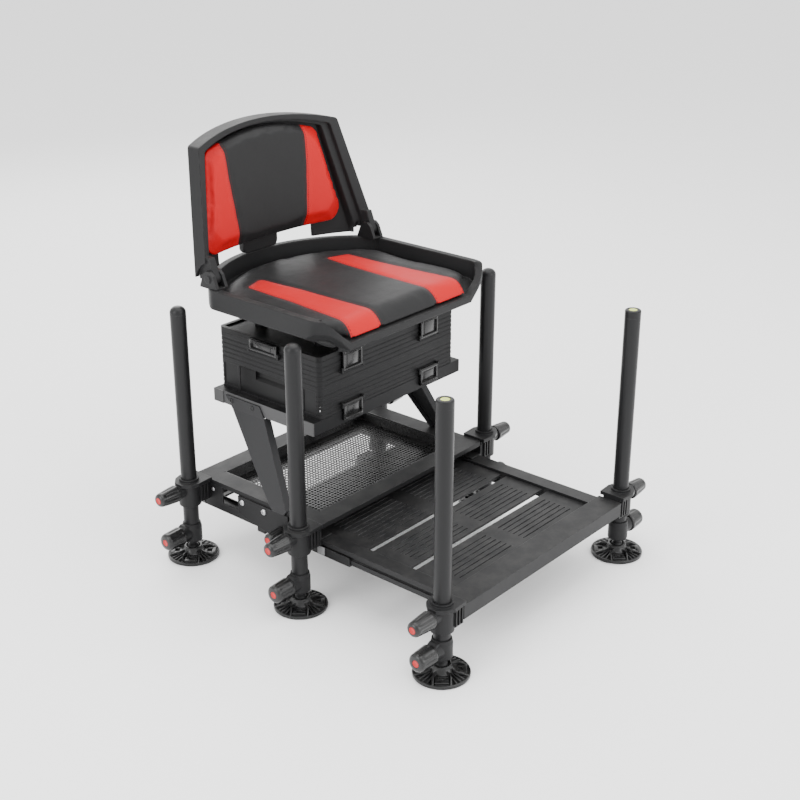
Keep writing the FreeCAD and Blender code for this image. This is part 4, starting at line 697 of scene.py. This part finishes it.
frontWay = (0, -1, 0)
for side, x in (("left", 108), ("right", -108)):
    makeLatch("clip_upper_" + side, (x, 17.7, 417), (1, 0, 0), (0, 0, 1), frontWay, 50.0, 38.0)
    makeLatch("clip_lower_" + side, (x, 17.7, 349), (1, 0, 0), (0, 0, -1), frontWay, 50.0, 32.0)
makeLatch("clip_end", (-193.3, 156.5, 434), (0, 1, 0), (0, 0, 1), (-1, 0, 0), 70.0, 22.0)
print("latches made")

# Bolts: silver socket heads on the side plates, dark ones on the risers
boltForm = {"plate": {"face": 240.0, "radius": 6.0, "height": 3.5, "depth": 7.5,
                      "at": [(182, 138), (124, 138)]},
            "rivet": {"face": 237.0, "radius": 4.0, "height": 2.0, "depth": 3.5, "at": [(266, 138)]},
            "riser": {"face": 209.5, "radius": 5.0, "height": 2.0, "depth": 6.0,
                      "at": [(177, 323), (232, 323)]}}


def makeBolts():
    bm = bmesh.new()
    for kind, form in boltForm.items():
        radius, height, depth = form["radius"], form["height"], form["depth"]
        profile = [(-depth, 0), (-depth, 2.9), (0, 2.9), (0, radius), (height * 0.35, radius),
                   (height * 0.75, radius * 0.86), (height, radius * 0.6), (height, radius * 0.45),
                   (height * 0.45, radius * 0.42), (height * 0.4, 0)]
        if kind == "rivet":
            profile = profile[:6] + [(height, radius * 0.5), (height, 0)]
        for y, z in form["at"]:
            for outward in (1, -1):
                head = bmesh.new()
                spunShape(head, profile, Vector((1, 0, 0)), steps=30)
                for facet in head.faces:
                    facet.material_index = 1 if kind == "riser" else 0
                bmesh.ops.scale(head, vec=(outward, 1, 1), verts=head.verts)
                bmesh.ops.translate(head, vec=(outward * form["face"] * mm, y * mm, z * mm), verts=head.verts)
                merge(bm, head)
    piece = finishPiece("boltHeads", bm, "chassis", [paint["steel"], paint["darkSteel"]], 35.0)
    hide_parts("fasteners")


makeBolts()

# Pale plugs in the open ends of the cross tubes
plugForm = {"x": (236.8, 239.0), "z": (101.0, 116.5), "y": [(292.0, 309.0), (-28.0, -11.0)]}
bm = bmesh.new()
for y0, y1 in plugForm["y"]:
    for outward in (1, -1):
        x0, x1 = sorted(outward * x for x in plugForm["x"])
        block(bm, (x0, y0, plugForm["z"][0]), (x1, y1, plugForm["z"][1]), 0.7)
piece = finishPiece("tubeEndPlugs", bm, "chassis", [paint["plug"]], 35.0)
print("bolts and plugs made")

# Finishes for the solids that stay
nodeFinish = {
    "chassis_frame": "frame", "guide_rails": "longRail", "side_plates": "frame",
    "chassis_clamps": "clamp", "risers": "riser", "carrier_rails": "carrier", "drawer_unit": "caseShell",
    "top_tray": "caseShell", "lid": "caseDark", "side_drawer": "caseDark", "swivel_base": "caseDark",
    "swivel_top": "caseDark", "seat_shell": "seat", "hinge_brackets": "clamp", "back_shell": "seat",
    "footplate_bar": "crossRail", "footplate_rails": "longRail", "footplate_deck": "crossRail",
    "footplate_clamps": "clamp",
}
for spot in spots:
    nodeFinish["leg_" + spot] = "tube"
    nodeFinish["foot_collar_" + spot] = "clamp"
for node, finish in nodeFinish.items():
    data = nodes[node].data
    data.materials.clear()
    data.materials.append(paint[finish])

# Paler caps on the ends of the carrier's cross rails
carrier = nodes["carrier_rails"].data
carrier.materials.append(paint["railCap"])
capFace = max(abs(vert.co.x) for vert in carrier.vertices) - 0.002
for polygon in carrier.polygons:
    if abs(polygon.center.x) > capFace:
        polygon.material_index = 1

# Floor
bm = bmesh.new()
bmesh.ops.create_grid(bm, x_segments=1, y_segments=1, size=12.0)
floorMesh = bpy.data.meshes.new("studioFloor")
bm.to_mesh(floorMesh)
bm.free()
floor = bpy.data.objects.new("studioFloor", floorMesh)
floorPaint = bpy.data.materials.new("floorFinish")
floorPaint.use_nodes = True
floorShader = floorPaint.node_tree.nodes["Principled BSDF"]
floorShader.inputs["Base Color"].default_value = (0.97, 0.97, 0.97, 1)
floorShader.inputs["Roughness"].default_value = 0.6
floorMesh.materials.append(floorPaint)
scene.collection.objects.link(floor)
